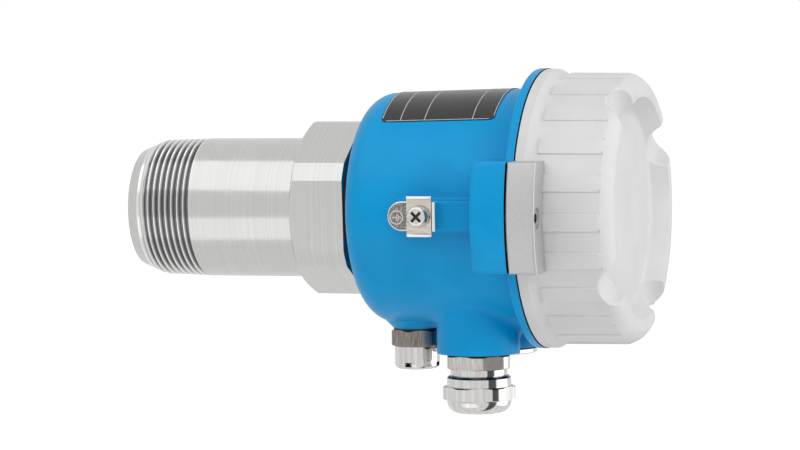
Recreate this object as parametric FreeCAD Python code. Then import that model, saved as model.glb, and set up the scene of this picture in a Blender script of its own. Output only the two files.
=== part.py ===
import FreeCAD
import Part
import math
import os

# Microwave barrier head: a steel process connection with a window in its nose, a cast
# aluminium housing and a ribbed screw cover. Millimetres, +Z up, cable entries down.
# The X axis is the axis of the device, with +X towards the cover. The origin lies on it
# at the shoulder where the smooth barrel meets the hexagon.

Vector = FreeCAD.Vector
AXIS_X = Vector(1, 0, 0)
AXIS_Y = Vector(0, 1, 0)
AXIS_Z = Vector(0, 0, 1)
ORIGIN = Vector(0, 0, 0)

# Clearances
SLIP = 0.05            # pushed-in parts of one body
RUNNING = 0.3          # pieces that turn or slide past each other
SCREW_GAP = 0.1        # radial room round a screw in its hole
SEAL_GAP = 0.05        # rubber in its groove
WALL_OVERLAP = 2.0     # how far a boss is sunk into the wall that it is cast with

# Process connection
BARREL_R = 24.15
BARREL_LENGTH = 38.0
THREAD_LENGTH = 16.0
THREAD_TAPER = 1 / 32
THREAD_PITCH = 2.209
THREAD_DEPTH = 1.3
THREAD_CREST = 0.3
THREAD_PHASE = 0.1     # from the barrel back to the first crest
NOSE_LENGTH = 7.8
NOSE_CHAMFER = 3.25    # radial drop of the nose cone ahead of the thread
HEX_WIDTH = 55.0
HEX_BAR_RISE = 2.5     # how far the bar's round corners stand past the flats
HEX_LENGTH = 19.4
HEX_TURN = 2.5
HEX_CHAMFER = 1.6
HEX_FACE_DROP = 0.4
WINDOW_SHOULDER = 2.8  # radial step that the window rests on
SPIGOT_WALL = 3.9
SPIGOT_LENGTH = 15.0
MODULE_STOP = 13.0

# Window, horn and microwave module inside the barrel
NOSE_WALL = 2.0        # steel round the window
WINDOW_LENGTH = 7.6
WINDOW_RECESS = 0.5
WINDOW_SEAL_SECTION = 1.1
HORN_LENGTH = 28.0
HORN_WALL = 1.4
HORN_THROAT_R = 6.0
MODULE_LENGTH = 18.0
MODULE_CAN_GAP = 3.8   # radial room round the module's can
MODULE_FLANGE_LENGTH = 3.0
SPACER_WALL = 2.2
CLIP_WIDTH = 1.2
CLIP_DEPTH = 1.0
CLIP_GAP = 6.0
LEAD_R = 2.2

# Housing
GASKET_THICKNESS = 0.8
GASKET_RIM = 0.8       # how far the gasket shows past the housing's nose
NOSE_FACE_R = 25.2
NOSE_CONE = 15.0
BODY_WALL = 2.7
BODY_DRAFT = 1.5
DOME_FILLET = 9.5
HOUSING_LENGTH = 64.7  # from the nose to the face of the flange
FLANGE_WIDTH = 3.1
FLANGE_SLOPE = 1.6
FLANGE_STAND = 0.2    # radial step from the cover's rim out to the flange
FLANGE_EDGE = 0.9
NECK_WALL = 5.1
NECK_LENGTH = 10.5
BACK_WALL = 7.6
CAVITY_CORNER = 5.0
PILLAR_R = 4.2
PILLAR_INSET = 6.0     # pillars inside the rim of the electronics insert
PILLAR_COUNT = 3
PILLAR_START = 90.0

# Lug for the cover clamp, and the pad that runs from it to the earth terminal
LUG_LENGTH = 12.2
LUG_STAND = 9.15       # radial reach of the lug past the flange
LUG_HEIGHT = 36.8
LUG_CORNER = 2.4
LUG_EDGE = 1.7
PAD_STAND = 4.8
PAD_HEIGHT = 10.2
PAD_EDGE = 0.8
CAST_BLEND = 1.5

# Cable entries and vent
ENTRY_SET = 42.4       # this and the sets below are places behind the housing's nose
ENTRY_Y = 12.4
ENTRY_BOSS_R = 14.2
ENTRY_STAND = 9.0
ENTRY_THREAD_R = 10.0
ENTRY_BLEND = 4.0
VENT_SET = 16.6
VENT_BOSS_R = 8.2
VENT_STAND = 1.8
VENT_THREAD_R = 6.0

# Cover
COVER_GAP = 0.4
RIM_STEP = 1.8         # radial step from the skirt out to the rim
RIM_WIDTH = 3.2
RIM_SLOPE_LENGTH = 2.6
SKIRT_WALL = 2.95
SKIRT_LENGTH = 22.8
SKIRT_TAPER = 0.2
CROWN_RISE = 4.2
CROWN_ROUND = 6.65     # radial drop of the rounded edge of the crown
CROWN_FLAT = 1.2
COVER_EDGE = 0.6
CROWN_WIDTH = 5.7
FLOOR_DEPTH = 6.5      # sunken middle below the crown
COVER_ROOF = 3.2
COVER_WALL = 3.0
COVER_THREAD_LENGTH = 12.0
COVER_RELIEF = 0.6
RIB_COUNT = 22
RIB_ANGLE = 7.6
RIB_HEIGHT = 0.45
RIB_PHASE = -2.4
RIB_START_GAP = 0.9
RIB_SINK = 1.0
RIB_EDGE = 0.4
NOTCH_COUNT = 4
NOTCH_R = 8.4
NOTCH_DEPTH = 6.3
NOTCH_EDGE = 0.8
NOTCH_PHASE = 32.5
NOTCH_REACH = 11.5     # how far a notch's tool runs in past the crown's ring
SEAL_SECTION = 2.2
SEAL_WALL = 1.2        # metal between the cover's bore and its seal groove

# Cover clamp
CLAMP_LENGTH = 9.7
CLAMP_EDGE = 1.0
CLAMP_HOOK = 3.3
CLAMP_SCREW_R = 1.9
CLAMP_SCREW_INSET = 4.2
CLAMP_SCREW_REACH = 9.0
CLAMP_HEAD_R = 3.5
CLAMP_HEAD_LENGTH = 4.0
CLAMP_HEAD_SINK = 0.5
CLAMP_SOCKET = 3.0

# Earth terminal outside
EARTH_SET = 32.3
EARTH_PLATE = 1.0
EARTH_PLATE_SET = 21.0
EARTH_PLATE_LENGTH = 17.2
EARTH_PLATE_HEIGHT = 9.8
EARTH_LIP = 2.2
EARTH_PLATE_EDGE = 0.3
SADDLE_LENGTH = 8.6
SADDLE_CUT = 0.6       # how far the folded edges stop short of the sheet's ends
SADDLE_BEND = 0.5
SADDLE_HEIGHT = 13.6
SADDLE_SHEET = 1.0
SADDLE_FLANGE = 2.4
WASHER_THICKNESS = 0.9
EARTH_SCREW_R = 1.9
EARTH_SCREW_LENGTH = 7.6
EARTH_HEAD_R = 3.7
EARTH_HEAD_HEIGHT = 2.5
WASHER_R = 3.5
WASHER_CUT = 0.7
WASHER_SLANT = 25.0
HOLE_REST = 0.5

# Screw heads
HEAD_ROUND = 0.6       # rounding as a share of the head's height
CROSS_REACH = 0.6      # half the cross recess as a share of the head's radius
CROSS_WIDTH = 1.0
CROSS_DEPTH = 1.3

# Cable gland
GLAND_GASKET = 0.7
GLAND_GASKET_RIM = 0.2
THREAD_GAP = 0.3       # room between a fine thread's plain shank and its hole
GLAND_SHANK_LENGTH = 13.5
GLAND_BODY_HEX = 21.2
GLAND_BODY_ROUND = 0.7 # how far turned corners stand past the flats
GLAND_BODY_HEIGHT = 4.7
GLAND_NECK_INSET = 0.85
GLAND_NECK_HEIGHT = 2.0
GLAND_STUD_INSET = 0.7
GLAND_STUD_HEIGHT = 7.6
GLAND_STUD_WALL = 1.4
GLAND_HEX_ANGLE = 14.5
NUT_RING_HEIGHT = 3.6
NUT_HEX = 23.2
NUT_HEX_ROUND = 0.8
NUT_HEX_ANGLE = -13.0
NUT_RING_INSET = 0.6
NUT_HEX_HEIGHT = 4.7
NUT_DOME_HEIGHT = 4.5
NUT_MOUTH_GAP = 1.9
NUT_LIP = 1.0
NUT_EDGE = 0.8
CABLE_GAP = 1.0
CABLE_R = 4.5
SLIP_RING_HEIGHT = 1.2

# Vent plug
VENT_GASKET = 0.6
VENT_HEX = 16.0
VENT_HEX_HEIGHT = 5.8
VENT_HEX_ROUND = 0.9
VENT_HEX_ANGLE = -4.0
VENT_BODY_INSET = 0.2
VENT_BODY_HEIGHT = 5.4
VENT_CAP_HEIGHT = 2.4
VENT_SHANK_LENGTH = 5.6
VENT_DUCT_R = 3.0
VENT_CAP_ROUND = 1.6
MEMBRANE_RIM = 1.5
MEMBRANE_THICKNESS = 0.4
VENT_SLOT_WIDTH = 2.4
VENT_SLOT_HEIGHT = 1.5
VENT_SLOT_ANGLE = -7.0

# Blind plug in the far entry
PLUG_FLANGE_INSET = 0.8
PLUG_FLANGE_HEIGHT = 1.6
PLUG_EDGE = 0.5
PLUG_SHANK_LENGTH = 10.0
PLUG_SOCKET = 10.0
PLUG_SOCKET_DEPTH = 6.0

# Name plate, bare
PLATE_SET = 12.8
PLATE_LENGTH = 40.2
PLATE_ANGLE = 80.0
PLATE_THICKNESS = 0.2
PLATE_CORNER = 2.0

# Electronics in the housing
NUT_THICKNESS = 5.0
NUT_WALL = 4.9
NUT_SLOT = 5.0
NUT_SLOT_DEPTH = 2.0
NUT_ROOM = 0.4         # between the lock nut and the pillars
INSERT_GAP = 1.9
PILLAR_LENGTH = 10.2
INSERT_LENGTH = 13.0
INSERT_SCREW_R = 1.9
INSERT_HEAD_R = 3.6
INSERT_HEAD_HEIGHT = 2.4
INSERT_HEAD_SINK = 6.5
INSERT_HEAD_ROOM = 0.6
INSERT_EDGE = 1.0
INSERT_SCREW_REST = 2.0
TERMINAL_COUNT = 8
TERMINAL_PITCH = 5.0
TERMINAL_DEPTH = 10.0
TERMINAL_HEIGHT = 12.0
TERMINAL_Z = -8.0
TERMINAL_STEP = 3.0
TERMINAL_STEP_HEIGHT = 4.0
WIRE_WIDTH = 3.2
WIRE_DEPTH = 7.0
WIRE_START = 2.0
SHAFT_R = 2.0
SHAFT_DEPTH = 6.0
SHAFT_RISE = 1.5
TERMINAL_SCREW_R = 1.9
TERMINAL_SCREW_LENGTH = 3.5
DRIVER_SLOT = 0.6
DRIVER_SLOT_DEPTH = 0.8
ADJUSTER_Z = 14.0
ADJUSTER_Y = 7.0
ADJUSTER_R = 3.2
ADJUSTER_HEIGHT = 3.0
ADJUSTER_STEM_R = 1.5
ADJUSTER_STEM = 4.0
ADJUSTER_SLOT = 1.0
SWITCH_Y = -18.0
SWITCH_WIDTH = 9.0
SWITCH_HEIGHT = 8.0
SWITCH_DEPTH = 4.0
SWITCH_PITCH = 4.0
SWITCH_SLOT_DEPTH = 2.5
SLIDER_WIDTH = 1.6
SLIDER_LENGTH = 1.8
SLIDER_TRAVEL = 2.0
SLIDER_STAND = 0.8
LAMP_R = 1.5
LAMP_Y = 20.0
INNER_EARTH_SET = 47.8
INNER_PAD_STAND = 5.9
INNER_PAD_WIDTH = 10.0

# Radii and places that follow from the sizes
thread_end_x = -BARREL_LENGTH
crest_start_x = thread_end_x - THREAD_LENGTH
nose_x = crest_start_x - NOSE_LENGTH
crest_start_r = BARREL_R - THREAD_LENGTH * THREAD_TAPER
nose_r = crest_start_r - NOSE_CHAMFER
window_r = nose_r - NOSE_WALL
bore_r = window_r - WINDOW_SHOULDER
spigot_r = bore_r + SPIGOT_WALL
module_can_r = bore_r - MODULE_CAN_GAP
hex_bar_r = HEX_WIDTH / 2 + HEX_BAR_RISE
window_back_x = nose_x + WINDOW_RECESS + WINDOW_LENGTH
horn_back_x = window_back_x + HORN_LENGTH
module_back_x = horn_back_x + MODULE_LENGTH
spigot_end_x = HEX_LENGTH + SPIGOT_LENGTH
housing_nose_x = HEX_LENGTH + GASKET_THICKNESS
flange_face_x = housing_nose_x + HOUSING_LENGTH
entry_x = housing_nose_x + ENTRY_SET
vent_x = housing_nose_x + VENT_SET
earth_x = housing_nose_x + EARTH_SET
earth_plate_start = housing_nose_x + EARTH_PLATE_SET
plate_start = housing_nose_x + PLATE_SET
plate_end = plate_start + PLATE_LENGTH
inner_earth_x = housing_nose_x + INNER_EARTH_SET
gasket_r = NOSE_FACE_R + GASKET_RIM
nut_r = spigot_r + NUT_WALL
pillar_circle = nut_r + NUT_ROOM + PILLAR_R
insert_r = pillar_circle + PILLAR_INSET
cavity_r = insert_r + INSERT_GAP
body_r = cavity_r + BODY_WALL
neck_r = cavity_r + NECK_WALL
cover_bore_r = neck_r + RUNNING
relief_r = cover_bore_r + COVER_RELIEF
skirt_r = relief_r + SKIRT_WALL
skirt_end_r = skirt_r - SKIRT_TAPER
rib_crest_r = skirt_r + RIB_HEIGHT
rim_r = skirt_r + RIM_STEP
flange_r = rim_r + FLANGE_STAND
lug_r = flange_r + LUG_STAND
crown_r = skirt_r - CROWN_ROUND
crown_inner_r = crown_r - CROWN_WIDTH
notch_inner = crown_inner_r - NOTCH_REACH
seal_room = SEAL_SECTION / 2 + RUNNING
seal_ring_r = cover_bore_r + SEAL_WALL + seal_room
clamp_screw_y = lug_r - CLAMP_SCREW_INSET
cone_slope = math.tan(math.radians(NOSE_CONE))
draft_slope = math.tan(math.radians(BODY_DRAFT))
dome_corner_x = housing_nose_x + (body_r - NOSE_FACE_R) * cone_slope
flange_back_x = flange_face_x - FLANGE_WIDTH
slope_start_x = flange_back_x - FLANGE_SLOPE
neck_end_x = flange_face_x + NECK_LENGTH
back_wall_x = housing_nose_x + BACK_WALL
lug_start_x = flange_face_x - LUG_LENGTH
cover_start_x = flange_face_x + COVER_GAP
rim_end_x = cover_start_x + RIM_WIDTH
skirt_start_x = rim_end_x + RIM_SLOPE_LENGTH
rib_start_x = skirt_start_x + RIB_START_GAP
skirt_end_x = skirt_start_x + SKIRT_LENGTH
crown_x = skirt_end_x + CROWN_RISE
floor_x = crown_x - FLOOR_DEPTH
cover_ceiling_x = floor_x - COVER_ROOF
clamp_end_x = cover_start_x + CLAMP_LENGTH
pad_y = body_r + PAD_STAND
plate_top_y = pad_y + EARTH_PLATE
saddle_top_y = plate_top_y + SADDLE_SHEET
washer_top_y = saddle_top_y + WASHER_THICKNESS
earth_plate_end = earth_plate_start + EARTH_PLATE_LENGTH
entry_bottom = body_r + ENTRY_STAND
vent_bottom = body_r + VENT_STAND
gland_shank_r = ENTRY_THREAD_R - THREAD_GAP
gland_stud_r = gland_shank_r - GLAND_STUD_INSET
gland_neck_r = GLAND_BODY_HEX / 2 - GLAND_NECK_INSET
gland_bore_r = gland_stud_r - GLAND_STUD_WALL
gland_gasket_r = GLAND_BODY_HEX / 2 + GLAND_GASKET_RIM
gland_duct_r = CABLE_R + CABLE_GAP
nut_ring_r = NUT_HEX / 2 - NUT_RING_INSET
nut_mouth_r = CABLE_R + NUT_MOUTH_GAP
plug_flange_r = ENTRY_BOSS_R - PLUG_FLANGE_INSET
gland_hex_top = -entry_bottom - GLAND_GASKET
gland_neck_top = gland_hex_top - GLAND_BODY_HEIGHT
gland_stud_top = gland_neck_top - GLAND_NECK_HEIGHT
gland_stud_end = gland_stud_top - GLAND_STUD_HEIGHT
vent_body_r = VENT_HEX / 2 - VENT_BODY_INSET
membrane_r = VENT_DUCT_R + MEMBRANE_RIM
vent_hex_top = -vent_bottom - VENT_GASKET
vent_body_top = vent_hex_top - VENT_HEX_HEIGHT
vent_cap_top = vent_body_top - VENT_BODY_HEIGHT
insert_start = back_wall_x + PILLAR_LENGTH
insert_face_x = insert_start + INSERT_LENGTH
inner_pad_y = cavity_r - INNER_PAD_STAND
inner_earth_end = (cavity_r + body_r) / 2


def body_radius(x):
    """Radius of the drafted housing wall at a place along the axis."""
    return body_r + (x - dome_corner_x) * draft_slope


def turned_x(outline, angle=360.0):
    """Solid turned about the X axis from a closed outline of (x, radius) points."""
    points = [Vector(x, 0, radius) for x, radius in outline]
    face = Part.Face(Part.makePolygon(points + points[:1]))
    return face.revolve(ORIGIN, AXIS_X, angle)


def turned_z(outline, x, y):
    """Solid turned about an upright axis through (x, y) from (z, radius) points."""
    points = [Vector(x + radius, y, z) for z, radius in outline]
    face = Part.Face(Part.makePolygon(points + points[:1]))
    return face.revolve(Vector(x, y, 0), AXIS_Z, 360.0)


def rod_x(radius, start, end, y=0.0, z=0.0):
    return Part.makeCylinder(radius, end - start, Vector(start, y, z), AXIS_X)


def rod_y(radius, start, end, x=0.0, z=0.0):
    return Part.makeCylinder(radius, end - start, Vector(x, start, z), AXIS_Y)


def rod_z(radius, start, end, x=0.0, y=0.0):
    return Part.makeCylinder(radius, end - start, Vector(x, y, start), AXIS_Z)


def block(x0, x1, y0, y1, z0, z1):
    return Part.makeBox(x1 - x0, y1 - y0, z1 - z0, Vector(x0, y0, z0))


def hexagon_face(width, angle):
    """Hexagon in the XY plane, with a corner turned from -Y by the angle."""
    corner = width / 2 / math.cos(math.radians(30))
    points = []
    for step in range(6):
        turn = math.radians(angle + 60 * step)
        points.append(Vector(corner * math.sin(turn), -corner * math.cos(turn), 0))
    return Part.Face(Part.makePolygon(points + points[:1]))


def hexagon_z(width, top, height, x, y, angle):
    """Hexagonal prism that hangs down from its top face."""
    prism = hexagon_face(width, angle).extrude(Vector(0, 0, -height))
    prism.translate(Vector(x, y, top))
    return prism


def hexagon_x(width, start, length, angle=0.0, y=0.0):
    """Hexagonal prism along X with one flat towards -Y, turned about X by the angle."""
    prism = hexagon_face(width, 30.0).extrude(Vector(0, 0, length))
    prism.rotate(ORIGIN, AXIS_Y, 90)
    prism.rotate(ORIGIN, AXIS_X, angle)
    prism.translate(Vector(start, y, 0))
    return prism


def ring_edges(shape, x, radius, tolerance=0.05):
    """Round edges about the X axis at one place along it."""
    found = []
    for edge in shape.Edges:
        curve = edge.Curve
        if isinstance(curve, Part.Circle) and abs(curve.Radius - radius) < tolerance:
            on_axis = math.hypot(curve.Center.y, curve.Center.z) < tolerance
            if on_axis and abs(curve.Center.x - x) < tolerance:
                found.append(edge)
    return found


def pan_head(radius, height):
    """Low rounded screw head standing on the XY plane, with a cross recess in its top."""
    head = Part.makeCylinder(radius, height)
    top = [edge for edge in head.Edges if edge.BoundBox.ZMin > height - 0.01]
    head = head.makeFillet(height * HEAD_ROUND, top)
    reach = radius * CROSS_REACH
    for turn in (45, 135):
        arm = Part.makeBox(reach * 2, CROSS_WIDTH, CROSS_DEPTH * 2)
        arm.translate(Vector(-reach, -CROSS_WIDTH / 2, height - CROSS_DEPTH))
        arm.rotate(ORIGIN, AXIS_Z, turn)
        head = head.cut(arm)
    return head


def pan_screw(radius, height, shank_r, shank_length):
    """Pan-head screw whose head stands on the XY plane and whose shank goes down."""
    shank = Part.makeCylinder(shank_r, shank_length, Vector(0, 0, -shank_length))
    return pan_head(radius, height).fuse(shank).removeSplitter()


def crest_radius(x):
    """Radius over the thread's crests, which run out on the nose cone."""
    taper = BARREL_R + (x - thread_end_x) * THREAD_TAPER
    cone = crest_start_r + (x - crest_start_x) * NOSE_CHAMFER / NOSE_LENGTH
    return min(taper, cone)


def thread_outline():
    """Thread from the nose to the barrel, as rings of its pitch and depth."""
    points = [(thread_end_x, BARREL_R)]
    x = thread_end_x - THREAD_PHASE
    while x > nose_x + THREAD_PITCH:
        root_x = x - (THREAD_PITCH - THREAD_CREST) / 2
        root_r = BARREL_R + (root_x - thread_end_x) * THREAD_TAPER - THREAD_DEPTH
        if root_r > crest_radius(root_x):
            break
        points.append((x, crest_radius(x)))
        points.append((root_x, root_r))
        x -= THREAD_PITCH
        points.append((x + THREAD_CREST, crest_radius(x + THREAD_CREST)))
    return points[::-1]


def process_connection():
    """One piece of bar: threaded nose, barrel, hexagon and the spigot in the housing."""
    turned = turned_x([
        (nose_x, 0),
        (nose_x, nose_r),
        *thread_outline(),
        (HEX_CHAMFER, BARREL_R),
        (HEX_CHAMFER, spigot_r),
        (spigot_end_x, spigot_r),
        (spigot_end_x, 0),
    ])
    flats = hexagon_x(HEX_WIDTH, 0, HEX_LENGTH, HEX_TURN)
    bar = turned_x([
        (0, 0),
        (0, HEX_WIDTH / 2 - HEX_FACE_DROP),
        (HEX_CHAMFER, hex_bar_r),
        (HEX_LENGTH, hex_bar_r),
        (HEX_LENGTH, 0),
    ])
    body = turned.fuse(flats.common(bar))
    bore = turned_x([
        (nose_x, 0),
        (nose_x, window_r + SLIP),
        (window_back_x, window_r + SLIP),
        (window_back_x, bore_r),
        (MODULE_STOP, bore_r),
        (MODULE_STOP, bore_r + CLIP_DEPTH),
        (MODULE_STOP + CLIP_WIDTH + SLIP, bore_r + CLIP_DEPTH),
        (MODULE_STOP + CLIP_WIDTH + SLIP, bore_r),
        (spigot_end_x, bore_r),
        (spigot_end_x, 0),
    ])
    return body.cut(bore).removeSplitter()


def seal_ring_x(ring_r, section_r, x):
    """Round rubber ring about the X axis."""
    return Part.makeTorus(ring_r, section_r, Vector(x, 0, 0), AXIS_X)


def window():
    """Plastic window in the nose, with a groove for its seal."""
    front = nose_x + WINDOW_RECESS
    groove_half = WINDOW_SEAL_SECTION + SEAL_GAP
    groove_r = window_r - 2 * WINDOW_SEAL_SECTION + SLIP - SEAL_GAP
    middle = (front + window_back_x) / 2
    return turned_x([
        (front, 0),
        (front, window_r),
        (middle - groove_half, window_r),
        (middle - groove_half, groove_r),
        (middle + groove_half, groove_r),
        (middle + groove_half, window_r),
        (window_back_x, window_r),
        (window_back_x, 0),
    ])


def window_seal():
    middle = (nose_x + WINDOW_RECESS + window_back_x) / 2
    return seal_ring_x(window_r - WINDOW_SEAL_SECTION, WINDOW_SEAL_SECTION, middle)


def antenna_horn():
    """Horn that opens towards the window, with a flange at its throat."""
    outer_r = bore_r - SLIP
    flange_x = horn_back_x - MODULE_FLANGE_LENGTH
    return turned_x([
        (window_back_x, outer_r - HORN_WALL),
        (window_back_x, outer_r),
        (window_back_x + MODULE_FLANGE_LENGTH, outer_r),
        (flange_x, HORN_THROAT_R + 2 * HORN_WALL),
        (flange_x, outer_r),
        (horn_back_x, outer_r),
        (horn_back_x, HORN_THROAT_R),
        (flange_x, HORN_THROAT_R),
    ])


def microwave_module():
    """Sealed metal can with a flange against the horn and a plug for the lead."""
    outer_r = bore_r - SLIP
    flange_end = horn_back_x + MODULE_FLANGE_LENGTH
    return turned_x([
        (horn_back_x, 0),
        (horn_back_x, outer_r),
        (flange_end, outer_r),
        (flange_end, module_can_r),
        (module_back_x, module_can_r),
        (module_back_x, 0),
    ])


def module_spacer():
    """Plastic tube that keeps the module against the horn."""
    outer_r = bore_r - SLIP
    start = horn_back_x + MODULE_FLANGE_LENGTH
    return turned_x([
        (start, outer_r - SPACER_WALL),
        (start, outer_r),
        (MODULE_STOP, outer_r),
        (MODULE_STOP, outer_r - SPACER_WALL),
    ])


def retaining_clip():
    """Spring clip in the groove behind the spacer, with its gap at the top."""
    ring = turned_x([
        (MODULE_STOP, bore_r - 2 * CLIP_DEPTH),
        (MODULE_STOP, bore_r + CLIP_DEPTH - SLIP),
        (MODULE_STOP + CLIP_WIDTH, bore_r + CLIP_DEPTH - SLIP),
        (MODULE_STOP + CLIP_WIDTH, bore_r - 2 * CLIP_DEPTH),
    ])
    gap = block(MODULE_STOP - 1, MODULE_STOP + CLIP_WIDTH + 1,
                -CLIP_GAP / 2, CLIP_GAP / 2, 0, bore_r * 2)
    return ring.cut(gap)


def module_lead():
    """Short lead from the module to the electronics."""
    return rod_x(LEAD_R, module_back_x, insert_start)


def neck_gasket():
    return turned_x([
        (HEX_LENGTH, spigot_r + SLIP),
        (HEX_LENGTH, gasket_r),
        (housing_nose_x, gasket_r),
        (housing_nose_x, spigot_r + SLIP),
    ])


def lock_nut():
    """Slotted nut that clamps the housing onto the process connection."""
    end = back_wall_x + NUT_THICKNESS
    nut = turned_x([
        (back_wall_x, spigot_r + SLIP),
        (back_wall_x, nut_r),
        (end, nut_r),
        (end, spigot_r + SLIP),
    ])
    for turn in (45, 135, 225, 315):
        slot = block(back_wall_x, end, -NUT_SLOT / 2, NUT_SLOT / 2,
                     nut_r - NUT_SLOT_DEPTH, nut_r + 1)
        slot.rotate(ORIGIN, AXIS_X, turn)
        nut = nut.cut(slot)
    return nut


def housing_shell():
    """Outside of the casting before its bosses: dome, drafted wall, flange and neck."""
    wall_end_r = body_radius(slope_start_x)
    shell = turned_x([
        (housing_nose_x, 0),
        (housing_nose_x, NOSE_FACE_R),
        (dome_corner_x, body_r),
        (slope_start_x, wall_end_r),
        (flange_back_x, flange_r),
        (flange_face_x, flange_r),
        (flange_face_x, neck_r),
        (neck_end_x, neck_r),
        (neck_end_x, 0),
    ])
    shell = shell.makeFillet(DOME_FILLET, ring_edges(shell, dome_corner_x, body_r))
    shell = shell.makeFillet(FLANGE_EDGE, ring_edges(shell, flange_back_x, flange_r))
    return shell


def clamp_lug():
    """Solid lug that the cover clamp is screwed to, rounded at its free corners."""
    half = LUG_HEIGHT / 2
    inner = math.sqrt(body_r ** 2 - half ** 2) - WALL_OVERLAP
    lug = block(lug_start_x, flange_face_x, -lug_r - 1, -inner, -half, half)
    lug = lug.common(rod_x(lug_r, lug_start_x - 1, flange_face_x + 1))
    corners = [
        edge for edge in lug.Edges
        if abs(edge.BoundBox.XMax - lug_start_x) < 0.01
        and edge.BoundBox.ZLength < 0.01
    ]
    lug = lug.makeFillet(LUG_CORNER, corners)
    rim = [
        edge for edge in lug.Edges
        if edge.BoundBox.YMax < -inner - 3 and edge.BoundBox.XMin < flange_face_x - 0.5
    ]
    return lug.makeFillet(LUG_EDGE, rim)


def earth_pad():
    """Flat-topped pad from the lug to the earth terminal, round at its free end."""
    half = PAD_HEIGHT / 2
    start = earth_plate_start + half
    depth = cavity_r + 2
    pad = block(start, lug_start_x + 2, -pad_y, -depth, -half, half)
    pad = pad.fuse(rod_y(half, -pad_y, -depth, start)).removeSplitter()
    top = [
        edge for edge in pad.Edges
        if edge.BoundBox.YMax < -pad_y + 0.01 and edge.BoundBox.XMin < lug_start_x
    ]
    return pad.makeFillet(PAD_EDGE, top)


def entry_bosses():
    """The two round cable bosses, joined where they meet."""
    bosses = rod_z(ENTRY_BOSS_R, -entry_bottom, 0, entry_x, -ENTRY_Y)
    return bosses.fuse(rod_z(ENTRY_BOSS_R, -entry_bottom, 0, entry_x, ENTRY_Y))


def vent_boss():
    """Low boss that flares into the underside of the housing."""
    height = vent_bottom - cavity_r
    return Part.makeCone(VENT_BOSS_R, VENT_BOSS_R + height, height,
                         Vector(vent_x, 0, -vent_bottom), AXIS_Z)


def housing_cavity():
    """Room for the electronics, open at the neck, and the hole for the spigot."""
    cavity = turned_x([
        (back_wall_x, 0),
        (back_wall_x, cavity_r),
        (neck_end_x + 1, cavity_r),
        (neck_end_x + 1, 0),
    ])
    cavity = cavity.makeFillet(CAVITY_CORNER, ring_edges(cavity, back_wall_x, cavity_r))
    spigot_hole = rod_x(spigot_r + SLIP, housing_nose_x - 1, back_wall_x + 1)
    return cavity.fuse(spigot_hole)


def pillar_places():
    places = []
    for step in range(PILLAR_COUNT):
        turn = math.radians(PILLAR_START + 360 / PILLAR_COUNT * step)
        places.append((pillar_circle * math.cos(turn), pillar_circle * math.sin(turn)))
    return places


def wall_seams(shape, low, high):
    """Edges on the drafted wall between two corners of a box: the feet of the bosses."""
    found = []
    for edge in shape.Edges:
        first, last = edge.ParameterRange
        inside = True
        for step in range(5):
            point = edge.valueAt(first + (last - first) * step / 4)
            off_wall = abs(math.hypot(point.y, point.z) - body_radius(point.x)) > 0.02
            outside = not (low.x < point.x < high.x and low.y < point.y < high.y
                           and low.z < point.z < high.z)
            if off_wall or outside:
                inside = False
        if inside:
            found.append(edge)
    return found


def entry_feet(shape):
    """Edges where the cable bosses meet the wall and each other."""
    reach = ENTRY_BOSS_R + 0.1
    found = []
    for edge in shape.Edges:
        box = edge.BoundBox
        near = box.XMin > entry_x - reach and box.XMax < entry_x + reach
        if near and box.ZMax < -cavity_r / 2 and box.ZLength > 0.5:
            found.append(edge)
    return found


def screw_holes():
    """Drilled and tapped holes of the housing, for its entries and its screws."""
    holes = []
    for side in (-1, 1):
        holes.append(rod_z(ENTRY_THREAD_R, -entry_bottom - 1, -cavity_r / 2,
                           entry_x, side * ENTRY_Y))
    holes.append(rod_z(VENT_THREAD_R, -vent_bottom - 1, -cavity_r / 2, vent_x))
    for y, z in pillar_places():
        holes.append(rod_x(INSERT_SCREW_R + SCREW_GAP, back_wall_x + 1, insert_start + 1, y, z))
    holes.append(rod_x(CLAMP_SCREW_R + SCREW_GAP, flange_face_x - CLAMP_SCREW_REACH,
                       flange_face_x + 1, -clamp_screw_y))
    earth_hole_end = saddle_top_y - EARTH_SCREW_LENGTH - HOLE_REST
    holes.append(rod_y(EARTH_SCREW_R + SCREW_GAP, -pad_y - 1, -earth_hole_end, earth_x))
    holes.append(rod_y(EARTH_SCREW_R + SCREW_GAP, inner_pad_y - 1, inner_earth_end,
                       inner_earth_x))
    return holes


def housing():
    """Cast housing with its bosses, lug, pad, pillars and screw holes."""
    body = housing_shell().fuse(vent_boss()).removeSplitter()
    body = body.fuse(entry_bosses()).removeSplitter()
    body = body.makeFillet(ENTRY_BLEND, entry_feet(body))
    body = body.fuse([clamp_lug(), earth_pad()]).removeSplitter()
    low = Vector(earth_plate_start - 1, -flange_r, -LUG_HEIGHT / 2 - 0.5)
    high = Vector(slope_start_x + 0.1, -cavity_r / 2, LUG_HEIGHT / 2 + 0.5)
    body = body.makeFillet(CAST_BLEND, wall_seams(body, low, high))
    body = body.cut(housing_cavity())
    extras = []
    for y, z in pillar_places():
        extras.append(rod_x(PILLAR_R, back_wall_x - 1, insert_start, y, z))
    half = INNER_PAD_WIDTH / 2
    extras.append(block(inner_earth_x - half, inner_earth_x + half,
                        inner_pad_y, cavity_r + 1, -half, half))
    body = body.fuse(extras)
    return body.cut(screw_holes()).removeSplitter()


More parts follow.
